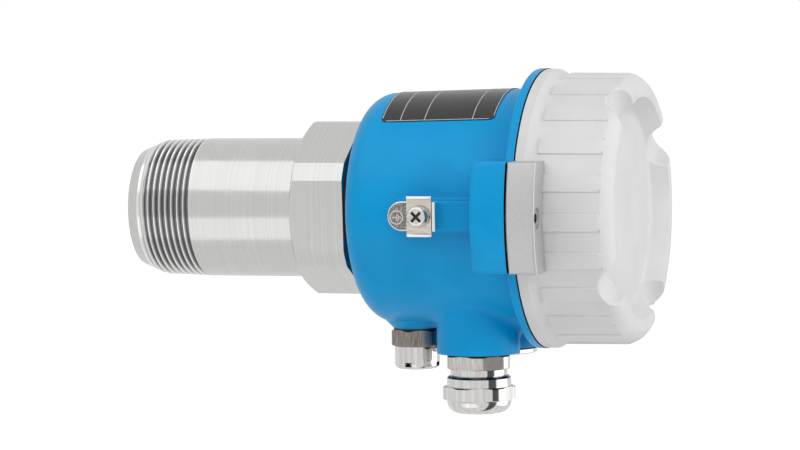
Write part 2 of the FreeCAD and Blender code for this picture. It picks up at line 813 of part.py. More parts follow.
def cover_outline():
    """Outside of the cover from its rim over the crown to the sunken middle."""
    points = [
        Vector(cover_start_x, 0, rim_r),
        Vector(rim_end_x, 0, rim_r),
        Vector(skirt_start_x, 0, skirt_r),
        Vector(skirt_end_x, 0, skirt_end_r),
    ]
    edges = [Part.makeLine(a, b) for a, b in zip(points, points[1:])]
    crown = Vector(crown_x, 0, crown_r)
    bow = math.sqrt(0.5)
    middle = Vector(skirt_end_x + (crown_x - skirt_end_x) * bow, 0,
                    crown_r + (skirt_end_r - crown_r) * bow)
    edges.append(Part.Arc(points[-1], middle, crown).toShape())
    flat = Vector(crown_x, 0, crown_r - CROWN_FLAT)
    foot = Vector(floor_x, 0, crown_inner_r)
    edges.append(Part.makeLine(crown, flat))
    edges.append(Part.makeLine(flat, foot))
    edges.append(Part.makeLine(foot, Vector(floor_x, 0, 0)))
    edges.append(Part.makeLine(Vector(floor_x, 0, 0), Vector(cover_start_x, 0, 0)))
    edges.append(Part.makeLine(Vector(cover_start_x, 0, 0), points[0]))
    return Part.Wire(edges)


def cover_rib(index):
    """One low rib along the skirt, rounded off under the crown."""
    end_x = skirt_end_x + RIB_HEIGHT
    outline = [
        (rib_start_x, skirt_r - RIB_SINK),
        (rib_start_x + RIB_HEIGHT, rib_crest_r),
        (skirt_end_x - 1, rib_crest_r - SKIRT_TAPER),
        (end_x, skirt_r - SKIRT_TAPER),
        (end_x, skirt_r - RIB_SINK),
    ]
    rib = turned_x(outline, RIB_ANGLE)
    crest = [
        edge for edge in rib.Edges
        if len(edge.Vertexes) == 2 and edge.BoundBox.XLength > SKIRT_LENGTH / 2
        and min(math.hypot(vertex.Y, vertex.Z) for vertex in edge.Vertexes) > skirt_r
    ]
    rib = rib.makeFillet(RIB_EDGE, crest)
    pitch = 360 / RIB_COUNT
    from_top = 90 - RIB_PHASE - RIB_ANGLE / 2
    rib.rotate(ORIGIN, AXIS_X, from_top + pitch * index)
    return rib


def cover_notch(index):
    """Half-round groove across the crown for a gripping tool."""
    centre_x = crown_x - NOTCH_DEPTH + NOTCH_R
    groove = rod_z(NOTCH_R, notch_inner, rim_r + 2, centre_x)
    groove.rotate(ORIGIN, AXIS_X, NOTCH_PHASE + 360 / NOTCH_COUNT * index)
    return groove


def notch_edges(shape):
    """Edges round the faces that the notches leave."""
    found = []
    for face in shape.Faces:
        surface = face.Surface
        if isinstance(surface, Part.Cylinder) and abs(surface.Radius - NOTCH_R) < 0.01:
            found.extend(face.Edges)
    return found


def cover():
    """Cast screw cover: rim, ribbed skirt, notched crown, and the bore for the neck."""
    body = Part.Face(cover_outline()).revolve(ORIGIN, AXIS_X, 360)
    foot = ring_edges(body, floor_x, crown_inner_r)
    body = body.makeFillet(COVER_WALL, foot)
    crown_edge = ring_edges(body, crown_x, crown_r - CROWN_FLAT)
    rim_edge = ring_edges(body, rim_end_x, rim_r)
    body = body.makeFillet(COVER_EDGE, crown_edge + rim_edge)
    body = body.cut([cover_notch(index) for index in range(NOTCH_COUNT)])
    body = body.makeFillet(NOTCH_EDGE, notch_edges(body))
    thread_end = cover_start_x + COVER_THREAD_LENGTH
    hollow = turned_x([
        (cover_start_x - 1, 0),
        (cover_start_x - 1, cover_bore_r),
        (thread_end, cover_bore_r),
        (thread_end, relief_r),
        (cover_ceiling_x, relief_r),
        (cover_ceiling_x, 0),
    ])
    hollow = hollow.makeFillet(COVER_WALL, ring_edges(hollow, cover_ceiling_x, relief_r))
    body = body.cut(hollow)
    groove = turned_x([
        (cover_start_x - 1, seal_ring_r - seal_room),
        (cover_start_x - 1, seal_ring_r + seal_room),
        (cover_start_x + SEAL_SECTION, seal_ring_r + seal_room),
        (cover_start_x + SEAL_SECTION, seal_ring_r - seal_room),
    ])
    body = body.cut(groove)
    return body.fuse([cover_rib(index) for index in range(RIB_COUNT)]).removeSplitter()


def cover_seal():
    middle = cover_start_x + (SEAL_SECTION - COVER_GAP) / 2
    return seal_ring_x(seal_ring_r, SEAL_SECTION / 2, middle)


def cover_clamp():
    """Cast claw that hooks over the cover's rim, drilled for its screw."""
    half = LUG_HEIGHT / 2
    claw = block(cover_start_x, clamp_end_x, -lug_r - 1, -skirt_r / 2, -half, half)
    claw = claw.common(rod_x(lug_r, cover_start_x - 1, clamp_end_x + 1))
    hook_x = clamp_end_x - CLAMP_HOOK
    room = turned_x([
        (cover_start_x - 1, 0),
        (cover_start_x - 1, rim_r + RUNNING),
        (hook_x, rim_r + RUNNING),
        (hook_x, rib_crest_r + RUNNING),
        (clamp_end_x + 1, rib_crest_r + RUNNING),
        (clamp_end_x + 1, 0),
    ])
    claw = claw.cut(room)
    claw = claw.makeFillet(CLAMP_EDGE, outer_corners(claw, rim_r + 1))
    screw_hole = rod_x(CLAMP_SCREW_R + SCREW_GAP, cover_start_x - 1, clamp_end_x + 1,
                       -clamp_screw_y)
    sink = rod_x(CLAMP_HEAD_R + SCREW_GAP, clamp_end_x - CLAMP_HEAD_SINK - CLAMP_HEAD_LENGTH,
                 clamp_end_x + 1, -clamp_screw_y)
    return claw.cut([screw_hole, sink])


def outer_corners(shape, radius):
    """Edges of a claw or lug whose every end lies beyond a radius about the X axis."""
    found = []
    for edge in shape.Edges:
        ends = [math.hypot(vertex.Y, vertex.Z) for vertex in edge.Vertexes]
        if min(ends) > radius:
            found.append(edge)
    return found


def clamp_screw():
    """Socket screw through the clamp into the lug."""
    head_end = clamp_end_x - CLAMP_HEAD_SINK
    head_start = head_end - CLAMP_HEAD_LENGTH
    tip = flange_face_x - CLAMP_SCREW_REACH + 1
    screw = rod_x(CLAMP_HEAD_R, head_start, head_end, -clamp_screw_y)
    screw = screw.fuse(rod_x(CLAMP_SCREW_R, tip, head_start, -clamp_screw_y))
    socket_depth = CLAMP_HEAD_LENGTH / 2
    socket = hexagon_x(CLAMP_SOCKET, head_end - socket_depth, socket_depth + 1,
                       y=-clamp_screw_y)
    return screw.cut(socket).removeSplitter()


def name_plate():
    """Bare plate bent round the top of the housing, with rounded corners."""
    lift = SLIP
    start_r = body_radius(plate_start) + lift
    end_r = body_radius(plate_end) + lift
    plate = turned_x([
        (plate_start, start_r),
        (plate_start, start_r + PLATE_THICKNESS),
        (plate_end, end_r + PLATE_THICKNESS),
        (plate_end, end_r),
    ], PLATE_ANGLE)
    plate.rotate(ORIGIN, AXIS_X, -PLATE_ANGLE / 2)
    corners = [
        edge for edge in plate.Edges
        if edge.BoundBox.XLength < 0.02 and abs(edge.Length - PLATE_THICKNESS) < 0.02
    ]
    return plate.makeFillet(PLATE_CORNER, corners)


def earth_plate():
    """Base of the earth terminal: round at one end, turned up at the other."""
    half = EARTH_PLATE_HEIGHT / 2
    start = earth_plate_start + half
    plate = block(start, earth_plate_end, -plate_top_y, -pad_y, -half, half)
    plate = plate.fuse(rod_y(half, -plate_top_y, -pad_y, start)).removeSplitter()
    rim = [
        edge for edge in plate.Edges
        if edge.BoundBox.YMax < -plate_top_y + 0.01 and edge.BoundBox.XMin < earth_plate_end - 1
    ]
    plate = plate.makeChamfer(EARTH_PLATE_EDGE, rim)
    lip = block(earth_plate_end - EARTH_PLATE, earth_plate_end,
                -plate_top_y - EARTH_LIP, -plate_top_y, -half, half)
    hole = rod_y(EARTH_SCREW_R + SCREW_GAP, -plate_top_y - 1, 0, earth_x)
    return plate.fuse(lip).cut(hole).removeSplitter()


def earth_saddle():
    """Sheet clamp under the screw, its long edges folded outwards."""
    half = SADDLE_HEIGHT / 2
    start = earth_x - SADDLE_LENGTH / 2
    end = earth_x + SADDLE_LENGTH / 2
    sheet = block(start, end, -saddle_top_y, -plate_top_y, -half, half)
    fold_top_y = plate_top_y + SADDLE_FLANGE
    folds = []
    for low in (-half, half - SADDLE_SHEET):
        fold = block(start + SADDLE_CUT, end - SADDLE_CUT, -fold_top_y, -plate_top_y,
                     low, low + SADDLE_SHEET)
        crest = [edge for edge in fold.Edges
                 if edge.BoundBox.YMax < -fold_top_y + 0.01 and edge.BoundBox.XLength > 1]
        folds.append(fold.makeFillet(SADDLE_SHEET * SADDLE_BEND - SLIP, crest))
    hole = rod_y(EARTH_SCREW_R + SCREW_GAP, -saddle_top_y - 1, 0, earth_x)
    return sheet.fuse(folds).cut(hole).removeSplitter()


def split_washer(inner_r, outer_r, thickness):
    """Spring washer on the XY plane, cut through at one side."""
    ring = Part.makeCylinder(outer_r, thickness).cut(Part.makeCylinder(inner_r, thickness))
    cut = Part.makeBox(outer_r, WASHER_CUT, thickness * 3, Vector(0, -WASHER_CUT / 2, -thickness))
    cut.rotate(ORIGIN, AXIS_X, WASHER_SLANT)
    return ring.cut(cut)


def earth_washer():
    washer = split_washer(EARTH_SCREW_R + SCREW_GAP, WASHER_R, WASHER_THICKNESS)
    washer.rotate(ORIGIN, AXIS_X, 90)
    washer.translate(Vector(earth_x, -saddle_top_y, 0))
    return washer


def earth_screw():
    screw = pan_screw(EARTH_HEAD_R, EARTH_HEAD_HEIGHT, EARTH_SCREW_R,
                      EARTH_SCREW_LENGTH + WASHER_THICKNESS - SADDLE_SHEET)
    screw.rotate(ORIGIN, AXIS_X, 90)
    screw.translate(Vector(earth_x, -washer_top_y, 0))
    return screw


def inner_earth_washer():
    washer = split_washer(EARTH_SCREW_R + SCREW_GAP, WASHER_R, WASHER_THICKNESS)
    washer.rotate(ORIGIN, AXIS_X, 90)
    washer.translate(Vector(inner_earth_x, inner_pad_y, 0))
    return washer


def inner_earth_screw():
    depth = cavity_r - inner_pad_y
    screw = pan_screw(EARTH_HEAD_R, EARTH_HEAD_HEIGHT, EARTH_SCREW_R, WASHER_THICKNESS + depth)
    screw.rotate(ORIGIN, AXIS_X, 90)
    screw.translate(Vector(inner_earth_x, inner_pad_y - WASHER_THICKNESS, 0))
    return screw


def gland_gasket():
    return turned_z([
        (gland_hex_top, gland_shank_r + SLIP),
        (gland_hex_top, gland_gasket_r),
        (-entry_bottom, gland_gasket_r),
        (-entry_bottom, gland_shank_r + SLIP),
    ], entry_x, -ENTRY_Y)


def turned_hexagon(width, rise, top, height, x, y, angle):
    """Hexagonal prism whose corners are turned round and chamfered at both ends."""
    flat = width / 2
    prism = hexagon_z(width, top, height, x, y, angle)
    turned = turned_z([
        (top, 0),
        (top, flat),
        (top - rise / 2, flat + rise),
        (top - height + rise / 2, flat + rise),
        (top - height, flat),
        (top - height, 0),
    ], x, y)
    return prism.common(turned)


def gland_body():
    """Gland body: shank in the boss, hexagon, neck and the stud that holds the nut."""
    turned = turned_z([
        (-entry_bottom + GLAND_SHANK_LENGTH, 0),
        (-entry_bottom + GLAND_SHANK_LENGTH, gland_shank_r),
        (gland_neck_top, gland_shank_r),
        (gland_neck_top, gland_neck_r),
        (gland_stud_top, gland_neck_r),
        (gland_stud_top, gland_stud_r),
        (gland_stud_end, gland_stud_r),
        (gland_stud_end, 0),
    ], entry_x, -ENTRY_Y)
    body = turned.fuse(turned_hexagon(GLAND_BODY_HEX, GLAND_BODY_ROUND, gland_hex_top,
                                      GLAND_BODY_HEIGHT, entry_x, -ENTRY_Y, GLAND_HEX_ANGLE))
    through = turned_z([
        (-entry_bottom + GLAND_SHANK_LENGTH + 1, 0),
        (-entry_bottom + GLAND_SHANK_LENGTH + 1, gland_duct_r),
        (gland_neck_top, gland_duct_r),
        (gland_neck_top, gland_bore_r),
        (gland_stud_end - 1, gland_bore_r),
        (gland_stud_end - 1, 0),
    ], entry_x, -ENTRY_Y)
    return body.cut(through).removeSplitter()


def gland_insert():
    """Rubber sleeve that grips the cable when the nut is drawn up."""
    return turned_z([
        (gland_neck_top, CABLE_R),
        (gland_neck_top, gland_bore_r - SLIP),
        (gland_stud_end, gland_bore_r - SLIP),
        (gland_stud_end, CABLE_R),
    ], entry_x, -ENTRY_Y)


def gland_slip_ring():
    """Loose ring between the rubber sleeve and the nut, so that the sleeve isn't twisted."""
    top = gland_stud_end - RUNNING
    return turned_z([
        (top, gland_duct_r),
        (top, gland_stud_r - RUNNING),
        (top - SLIP_RING_HEIGHT, gland_stud_r - RUNNING),
        (top - SLIP_RING_HEIGHT, gland_duct_r),
    ], entry_x, -ENTRY_Y)


def gland_nut():
    """Dome nut: round collar, hexagon and domed end with the cable mouth."""
    collar_top = gland_stud_top - RUNNING
    hex_top = collar_top - NUT_RING_HEIGHT
    dome_top = hex_top - NUT_HEX_HEIGHT
    end = dome_top - NUT_DOME_HEIGHT
    bow = math.sqrt(0.5)
    rim_r = nut_mouth_r + NUT_LIP
    points = [
        Vector(0, 0, collar_top),
        Vector(nut_ring_r - NUT_EDGE, 0, collar_top),
        Vector(nut_ring_r, 0, collar_top - NUT_EDGE),
        Vector(nut_ring_r, 0, dome_top),
    ]
    edges = [Part.makeLine(a, b) for a, b in zip(points, points[1:])]
    low = Vector(rim_r, 0, end)
    middle = Vector(rim_r + (nut_ring_r - rim_r) * bow, 0, dome_top - NUT_DOME_HEIGHT * bow)
    edges.append(Part.Arc(points[-1], middle, low).toShape())
    edges.append(Part.makeLine(low, Vector(0, 0, end)))
    edges.append(Part.makeLine(Vector(0, 0, end), points[0]))
    nut = Part.Face(Part.Wire(edges)).revolve(ORIGIN, AXIS_Z, 360)
    nut = nut.fuse(turned_hexagon(NUT_HEX, NUT_HEX_ROUND, hex_top, NUT_HEX_HEIGHT, 0, 0,
                                  NUT_HEX_ANGLE))
    seat = gland_stud_end - SLIP_RING_HEIGHT - 2 * RUNNING
    hollow = turned_z([
        (collar_top + 1, 0),
        (collar_top + 1, gland_stud_r + RUNNING),
        (seat, gland_stud_r + RUNNING),
        (seat, nut_mouth_r),
        (end - 1, nut_mouth_r),
        (end - 1, 0),
    ], 0, 0)
    nut = nut.cut(hollow).removeSplitter()
    nut.translate(Vector(entry_x, -ENTRY_Y, 0))
    return nut


def vent_gasket():
    return turned_z([
        (vent_hex_top, VENT_THREAD_R),
        (vent_hex_top, VENT_HEX / 2),
        (-vent_bottom, VENT_HEX / 2),
        (-vent_bottom, VENT_THREAD_R),
    ], vent_x, 0)


def vent_body():
    """Vent plug: shank in the boss, hexagon and round body with a duct through it."""
    shank_top = -vent_bottom + VENT_SHANK_LENGTH
    turned = turned_z([
        (shank_top, 0),
        (shank_top, VENT_THREAD_R - SLIP),
        (vent_body_top, VENT_THREAD_R - SLIP),
        (vent_body_top, vent_body_r),
        (vent_cap_top, vent_body_r),
        (vent_cap_top, 0),
    ], vent_x, 0)
    body = turned.fuse(turned_hexagon(VENT_HEX, VENT_HEX_ROUND, vent_hex_top, VENT_HEX_HEIGHT,
                                      vent_x, 0, VENT_HEX_ANGLE))
    duct = rod_z(VENT_DUCT_R, vent_cap_top - 1, shank_top + 1, vent_x)
    return body.cut(duct).removeSplitter()


def vent_membrane():
    """Disc of filter cloth over the duct."""
    return rod_z(membrane_r, vent_cap_top - MEMBRANE_THICKNESS, vent_cap_top, vent_x)


def vent_cap():
    """Domed cap with slots that let air out at its sides."""
    top = vent_cap_top
    end = top - VENT_CAP_HEIGHT
    cap = turned_z([
        (top, 0),
        (top, vent_body_r),
        (end, vent_body_r),
        (end, 0),
    ], vent_x, 0)
    edge = [
        edge for edge in cap.Edges
        if abs(edge.BoundBox.ZMax - end) < 0.01 and edge.BoundBox.ZLength < 0.01
    ]
    cap = cap.makeFillet(VENT_CAP_ROUND, edge)
    room = rod_z(membrane_r + SLIP, top - 1, top, vent_x)
    cuts = [room]
    for turn in (VENT_SLOT_ANGLE, VENT_SLOT_ANGLE + 90):
        slot = block(-vent_body_r - 1, vent_body_r + 1, -VENT_SLOT_WIDTH / 2, VENT_SLOT_WIDTH / 2,
                     top - VENT_SLOT_HEIGHT, top)
        slot.rotate(ORIGIN, AXIS_Z, turn)
        slot.translate(Vector(vent_x, 0, 0))
        cuts.append(slot)
    return cap.cut(cuts)


def plug_gasket():
    return turned_z([
        (-entry_bottom - GLAND_GASKET, gland_shank_r + SLIP),
        (-entry_bottom - GLAND_GASKET, plug_flange_r - PLUG_EDGE),
        (-entry_bottom, plug_flange_r - PLUG_EDGE),
        (-entry_bottom, gland_shank_r + SLIP),
    ], entry_x, ENTRY_Y)


def blind_plug():
    """Plug in the entry that isn't used, with a round flange and a hexagon socket."""
    top = -entry_bottom - GLAND_GASKET
    end = top - PLUG_FLANGE_HEIGHT
    plug = turned_z([
        (-entry_bottom + PLUG_SHANK_LENGTH, 0),
        (-entry_bottom + PLUG_SHANK_LENGTH, gland_shank_r),
        (top, gland_shank_r),
        (top, plug_flange_r),
        (end + PLUG_EDGE, plug_flange_r),
        (end, plug_flange_r - PLUG_EDGE),
        (end, 0),
    ], entry_x, ENTRY_Y)
    socket = hexagon_z(PLUG_SOCKET, end + PLUG_SOCKET_DEPTH, PLUG_SOCKET_DEPTH + 1,
                       entry_x, ENTRY_Y, 0)
    return plug.cut(socket)


def electronics_insert():
    """Potted electronics in a moulded cup, with ears for its screws on the pillars."""
    body = rod_x(insert_r, insert_start, insert_face_x)
    rim = [
        edge for edge in body.Edges
        if edge.BoundBox.XLength < 0.01 and abs(edge.BoundBox.XMax - insert_face_x) < 0.01
    ]
    body = body.makeFillet(INSERT_EDGE, rim)
    cuts = []
    for y, z in pillar_places():
        cuts.append(rod_x(INSERT_SCREW_R + SCREW_GAP, insert_start - 1, insert_face_x + 1, y, z))
        cuts.append(rod_x(INSERT_HEAD_R + INSERT_HEAD_ROOM, insert_face_x - INSERT_HEAD_SINK,
                          insert_face_x + 1, y, z))
    for y in (-ADJUSTER_Y, ADJUSTER_Y):
        cuts.append(rod_x(ADJUSTER_STEM_R + SCREW_GAP, insert_face_x - ADJUSTER_STEM - RUNNING,
                          insert_face_x + 1, y, ADJUSTER_Z))
    return body.cut(cuts)


def insert_screws():
    """The screws that hold the insert on the pillars."""
    screws = []
    seat = insert_face_x - INSERT_HEAD_SINK
    for y, z in pillar_places():
        screw = pan_screw(INSERT_HEAD_R, INSERT_HEAD_HEIGHT, INSERT_SCREW_R,
                          seat - back_wall_x - INSERT_SCREW_REST)
        screw.rotate(ORIGIN, AXIS_Y, 90)
        screw.translate(Vector(seat, y, z))
        screws.append(screw)
    return Part.makeCompound(screws)


def terminal_places():
    first = -(TERMINAL_COUNT - 1) / 2 * TERMINAL_PITCH
    return [first + TERMINAL_PITCH * step for step in range(TERMINAL_COUNT)]


def terminal_block():
    """Row of screw terminals with a wire hole and a screw shaft for each."""
    half = TERMINAL_COUNT * TERMINAL_PITCH / 2
    low = TERMINAL_Z - TERMINAL_HEIGHT / 2
    high = TERMINAL_Z + TERMINAL_HEIGHT / 2
    front = insert_face_x + TERMINAL_DEPTH
    body = block(insert_face_x, front, -half, half, low, high)
    cuts = [block(front - TERMINAL_STEP, front + 1, -half - 1, half + 1,
                  low - 1, low + TERMINAL_STEP_HEIGHT)]
    wire_x = insert_face_x + WIRE_START
    for y in terminal_places():
        cuts.append(block(wire_x, wire_x + WIRE_WIDTH, y - WIRE_WIDTH / 2, y + WIRE_WIDTH / 2,
                          low - 1, low + WIRE_DEPTH))
        cuts.append(rod_x(SHAFT_R, front - SHAFT_DEPTH, front + 1, y, TERMINAL_Z + SHAFT_RISE))
    return body.cut(cuts)


def terminal_screws():
    screws = []
    start = insert_face_x + TERMINAL_DEPTH - SHAFT_DEPTH
    end = start + TERMINAL_SCREW_LENGTH
    for y in terminal_places():
        z = TERMINAL_Z + SHAFT_RISE
        screw = rod_x(TERMINAL_SCREW_R, start, end, y, z)
        slot = block(end - DRIVER_SLOT_DEPTH, end + 1, y - DRIVER_SLOT / 2, y + DRIVER_SLOT / 2,
                     z - TERMINAL_SCREW_R - 1, z + TERMINAL_SCREW_R + 1)
        screws.append(screw.cut(slot))
    return Part.makeCompound(screws)


def adjuster(y):
    """Small knob with a driver slot and a stem in the insert."""
    knob_start = insert_face_x + RUNNING
    knob = rod_x(ADJUSTER_R, knob_start, knob_start + ADJUSTER_HEIGHT, y, ADJUSTER_Z)
    stem = rod_x(ADJUSTER_STEM_R, insert_face_x - ADJUSTER_STEM, knob_start, y, ADJUSTER_Z)
    slot_end = knob_start + ADJUSTER_HEIGHT
    half = ADJUSTER_SLOT / 2
    slot = block(slot_end - ADJUSTER_SLOT, slot_end + 1, y - half, y + half,
                 ADJUSTER_Z - ADJUSTER_R - 1, ADJUSTER_Z + ADJUSTER_R - 1)
    return knob.fuse(stem).removeSplitter().cut(slot)


def sensitivity_adjuster():
    return adjuster(-ADJUSTER_Y)


def delay_adjuster():
    return adjuster(ADJUSTER_Y)


def switch_places():
    return [SWITCH_Y - SWITCH_PITCH / 2, SWITCH_Y + SWITCH_PITCH / 2]


def switch_case():
    """Case of the two slide switches, with an open slot for each."""
    half_width = SWITCH_WIDTH / 2
    half_height = SWITCH_HEIGHT / 2
    front = insert_face_x + SWITCH_DEPTH
    body = block(insert_face_x, front, SWITCH_Y - half_width, SWITCH_Y + half_width,
                 ADJUSTER_Z - half_height, ADJUSTER_Z + half_height)
    cuts = []
    for y in switch_places():
        half_slot = SLIDER_WIDTH / 2 + RUNNING / 2
        reach = (SLIDER_LENGTH + SLIDER_TRAVEL) / 2 + RUNNING / 2
        cuts.append(block(front - SWITCH_SLOT_DEPTH, front + 1, y - half_slot, y + half_slot,
                          ADJUSTER_Z - reach, ADJUSTER_Z + reach))
    return body.cut(cuts)


def switch_slider(y):
    """Slider at the lower end of its slot, standing out of the case."""
    front = insert_face_x + SWITCH_DEPTH
    middle = ADJUSTER_Z - SLIDER_TRAVEL / 2
    return block(front - SWITCH_SLOT_DEPTH + RUNNING / 2, front + SLIDER_STAND,
                 y - SLIDER_WIDTH / 2, y + SLIDER_WIDTH / 2,
                 middle - SLIDER_LENGTH / 2, middle + SLIDER_LENGTH / 2)


def range_slider():
    return switch_slider(switch_places()[0])


def delay_slider():
    return switch_slider(switch_places()[1])


def status_lamp():
    """Lamp with a domed lens on the face of the insert."""
    body = rod_x(LAMP_R, insert_face_x, insert_face_x + LAMP_R, LAMP_Y, ADJUSTER_Z)
    lens = Part.makeSphere(LAMP_R, Vector(insert_face_x + LAMP_R, LAMP_Y, ADJUSTER_Z))
    return body.fuse(lens).removeSplitter()


PIECES = {
    "process_connection": process_connection,
    "window": window,
    "window_seal": window_seal,
    "antenna_horn": antenna_horn,
    "microwave_module": microwave_module,
    "module_spacer": module_spacer,
    "retaining_clip": retaining_clip,
    "module_lead": module_lead,
    "neck_gasket": neck_gasket,
    "lock_nut": lock_nut,
    "housing": housing,
    "name_plate": name_plate,
    "earth_plate": earth_plate,
    "earth_saddle": earth_saddle,
    "earth_washer": earth_washer,
    "earth_screw": earth_screw,
    "vent_gasket": vent_gasket,
    "vent_body": vent_body,
    "vent_membrane": vent_membrane,
    "vent_cap": vent_cap,
    "gland_gasket": gland_gasket,
    "gland_body": gland_body,
    "gland_insert": gland_insert,
    "gland_slip_ring": gland_slip_ring,
    "gland_nut": gland_nut,
    "plug_gasket": plug_gasket,
    "blind_plug": blind_plug,
    "electronics_insert": electronics_insert,
    "insert_screws": insert_screws,
    "terminal_block": terminal_block,
    "terminal_screws": terminal_screws,
    "sensitivity_adjuster": sensitivity_adjuster,
    "delay_adjuster": delay_adjuster,
    "switch_case": switch_case,
    "range_slider": range_slider,
    "delay_slider": delay_slider,
    "status_lamp": status_lamp,
    "inner_earth_washer": inner_earth_washer,
    "inner_earth_screw": inner_earth_screw,
    "cover_seal": cover_seal,
    "cover": cover,
    "cover_clamp": cover_clamp,
    "clamp_screw": clamp_screw,
}


def main():
    os.makedirs("parts", exist_ok=True)
    for name, make in PIECES.items():
        shape = make()
        shape.exportStep("parts/" + name + ".step")
        print(name, len(shape.Solids), round(shape.Volume, 2), shape.isValid())


main()
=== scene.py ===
import math

import bmesh
import bpy
from mathutils import Matrix, Vector


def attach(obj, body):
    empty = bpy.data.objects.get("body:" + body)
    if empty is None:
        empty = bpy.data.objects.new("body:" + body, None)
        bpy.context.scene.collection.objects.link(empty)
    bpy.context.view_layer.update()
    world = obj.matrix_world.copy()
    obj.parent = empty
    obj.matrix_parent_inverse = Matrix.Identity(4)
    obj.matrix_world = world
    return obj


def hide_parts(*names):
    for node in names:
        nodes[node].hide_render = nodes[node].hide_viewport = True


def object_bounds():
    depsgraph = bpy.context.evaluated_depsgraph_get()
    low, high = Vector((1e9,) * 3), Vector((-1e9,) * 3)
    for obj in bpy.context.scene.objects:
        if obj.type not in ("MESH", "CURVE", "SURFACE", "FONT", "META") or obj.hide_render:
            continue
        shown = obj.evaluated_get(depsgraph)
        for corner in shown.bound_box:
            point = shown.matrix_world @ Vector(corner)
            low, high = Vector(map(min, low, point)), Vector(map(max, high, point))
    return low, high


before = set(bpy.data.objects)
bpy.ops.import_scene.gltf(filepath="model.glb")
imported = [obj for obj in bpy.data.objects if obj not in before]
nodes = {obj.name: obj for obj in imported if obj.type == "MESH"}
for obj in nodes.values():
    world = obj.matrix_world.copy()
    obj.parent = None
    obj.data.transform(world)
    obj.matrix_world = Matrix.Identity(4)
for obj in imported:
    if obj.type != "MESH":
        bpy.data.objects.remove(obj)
cad_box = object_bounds()

# Microwave barrier head. Metres, in the same frame as the solids: +X along the device's axis
# towards the cover, +Z up, the earth terminal and the cover clamp on the -Y side.
MM = 0.001

# Camera, worked out from the photograph's outlines
CAMERA_PLACE = Vector((0.415366, -1.207486, 0.077007))
CAMERA_AZIMUTH = math.radians(17.65)
CAMERA_ELEVATION = math.radians(3.75)
CAMERA_ROLL = math.radians(0.87)
CAMERA_LENS = 165.0
CAMERA_SENSOR = 36.0
CAMERA_FAR = 100.0

# Floor: it glows to the camera alone, so that it stays white
FLOOR_Z = -0.45
FLOOR_SIZE = 120.0
FLOOR_COLOR = (0.82, 0.82, 0.82)
FLOOR_ROUGHNESS = 0.9
FLOOR_GLOW = 0.62
WHITE = (1.0, 1.0, 1.0)

# Sky: one strength as soft light, one in reflections, and a tall dark card beside the object
SKY_DIFFUSE = 0.52
SKY_GLOSS = 0.80
CARD_AZIMUTH = math.radians(65)
CARD_HALF_WIDTH = math.radians(13)
CARD_EDGE = math.radians(4)
CARD_TONE = 0.10

# Process connection: tapered pipe thread over the nose, smooth barrel up to the hexagon
BARREL_R = 24.15 * MM
HEXAGON_GAP = 0.05 * MM
THREAD_END_X = -38.0 * MM
THREAD_RUNOUT = 0.3 * MM
GROOVE_X = -45.67 * MM
THREAD_TAPER = 1 / 32
NOSE_CONE_START_X = -54.0 * MM
NOSE_CONE_SLOPE = 3.25 / 7.8
NOSE_STEP = 0.01 * MM
THREAD_PITCH = 25.4 / 11.5 * MM
THREAD_DEPTH = 1.55 * MM
CREST_FLAT = 0.22 * MM
ROOT_FLAT = 0.14 * MM
THREAD_FADE = 0.45 * MM
THREAD_STEPS = 120
BARREL_SLOT = 0
THREAD_SLOT = 1

# Cover: half-round gripping grooves across its crown
GROOVE_COUNT = 4
GROOVE_R = 8.4 * MM
GROOVE_CENTRE_X = 120.2 * MM
GROOVE_PHASE = math.radians(32.5)
GROOVE_SKIN = 0.05 * MM
RIBS_INNER_R = 40.0 * MM

# Name plate, bare but for a frame and three dividing lines
PLATE_START_X = 33.0 * MM
PLATE_END_X = 73.2 * MM
PLATE_R = 40.084 * MM
PLATE_DRAFT = math.tan(math.radians(1.5))
PLATE_HALF_ANGLE = math.radians(40)
RULE_X = (39.9 * MM, 48.5 * MM, 65.5 * MM)
RULE_WIDTH = 0.26 * MM
RULE_LIFT = 0.03 * MM
RULE_MARGIN = 0.4 * MM
RULE_STEPS = 40
RULE_CORNER = 1.4 * MM

# Earth terminal: stamped plate with a painted highlight on its rim, its sign, and painted shade
# in the gap beside the saddle's lip
EARTH_PLATE_END_X = 46.1 * MM
EARTH_PLATE_R = 4.9 * MM
EARTH_PLATE_RIM = 0.42 * MM
EARTH_PLATE_FACE_Y = -45.4 * MM
EARTH_GAP_START_X = 56.0 * MM
EARTH_GAP_END_X = 57.42 * MM
SIGN_X = 44.4 * MM
SIGN_Z = -0.4 * MM
SIGN_R = 2.2 * MM
SIGN_LINE = 0.32 * MM
SIGN_LIFT = 0.12 * MM
SIGN_STEPS = 48
SIGN_STEM = (-1.5 * MM, 0.2 * MM)
SIGN_BARS = ((0.2 * MM, 1.25 * MM), (0.75 * MM, 0.8 * MM), (1.25 * MM, 0.4 * MM))
SIGN_BAR_LINE = 0.26 * MM

# Earth screw: cross recess in its head, and the start of the saddle's folds above and below
EARTH_SCREW_X = 52.5 * MM
RECESS_R = 2.4 * MM
RECESS_Y = -49.3 * MM
SADDLE_FOLD_Z = 5.85 * MM

# Lower ends of the hexagons of the pressure vent and of the cable gland's body
VENT_HEXAGON_Z = -47.8 * MM
GLAND_HEXAGON_Z = -53.9 * MM

# Joint between the housing's flange and the cover: painted shade where light doesn't reach
FLANGE_FACE_X = 84.9 * MM
COVER_FACE_X = 85.3 * MM
JOINT_INNER_R = 45.8 * MM
JOINT_REACH = 0.05 * MM
JOINT_SHADE = (0.012, 0.013, 0.014)

# Plated fittings: painted shade on upward ledges, which see only the housing above them
LEDGE_SHADE = (0.10, 0.10, 0.10)
LEDGE_LOW = 0.25
LEDGE_HIGH = 0.6

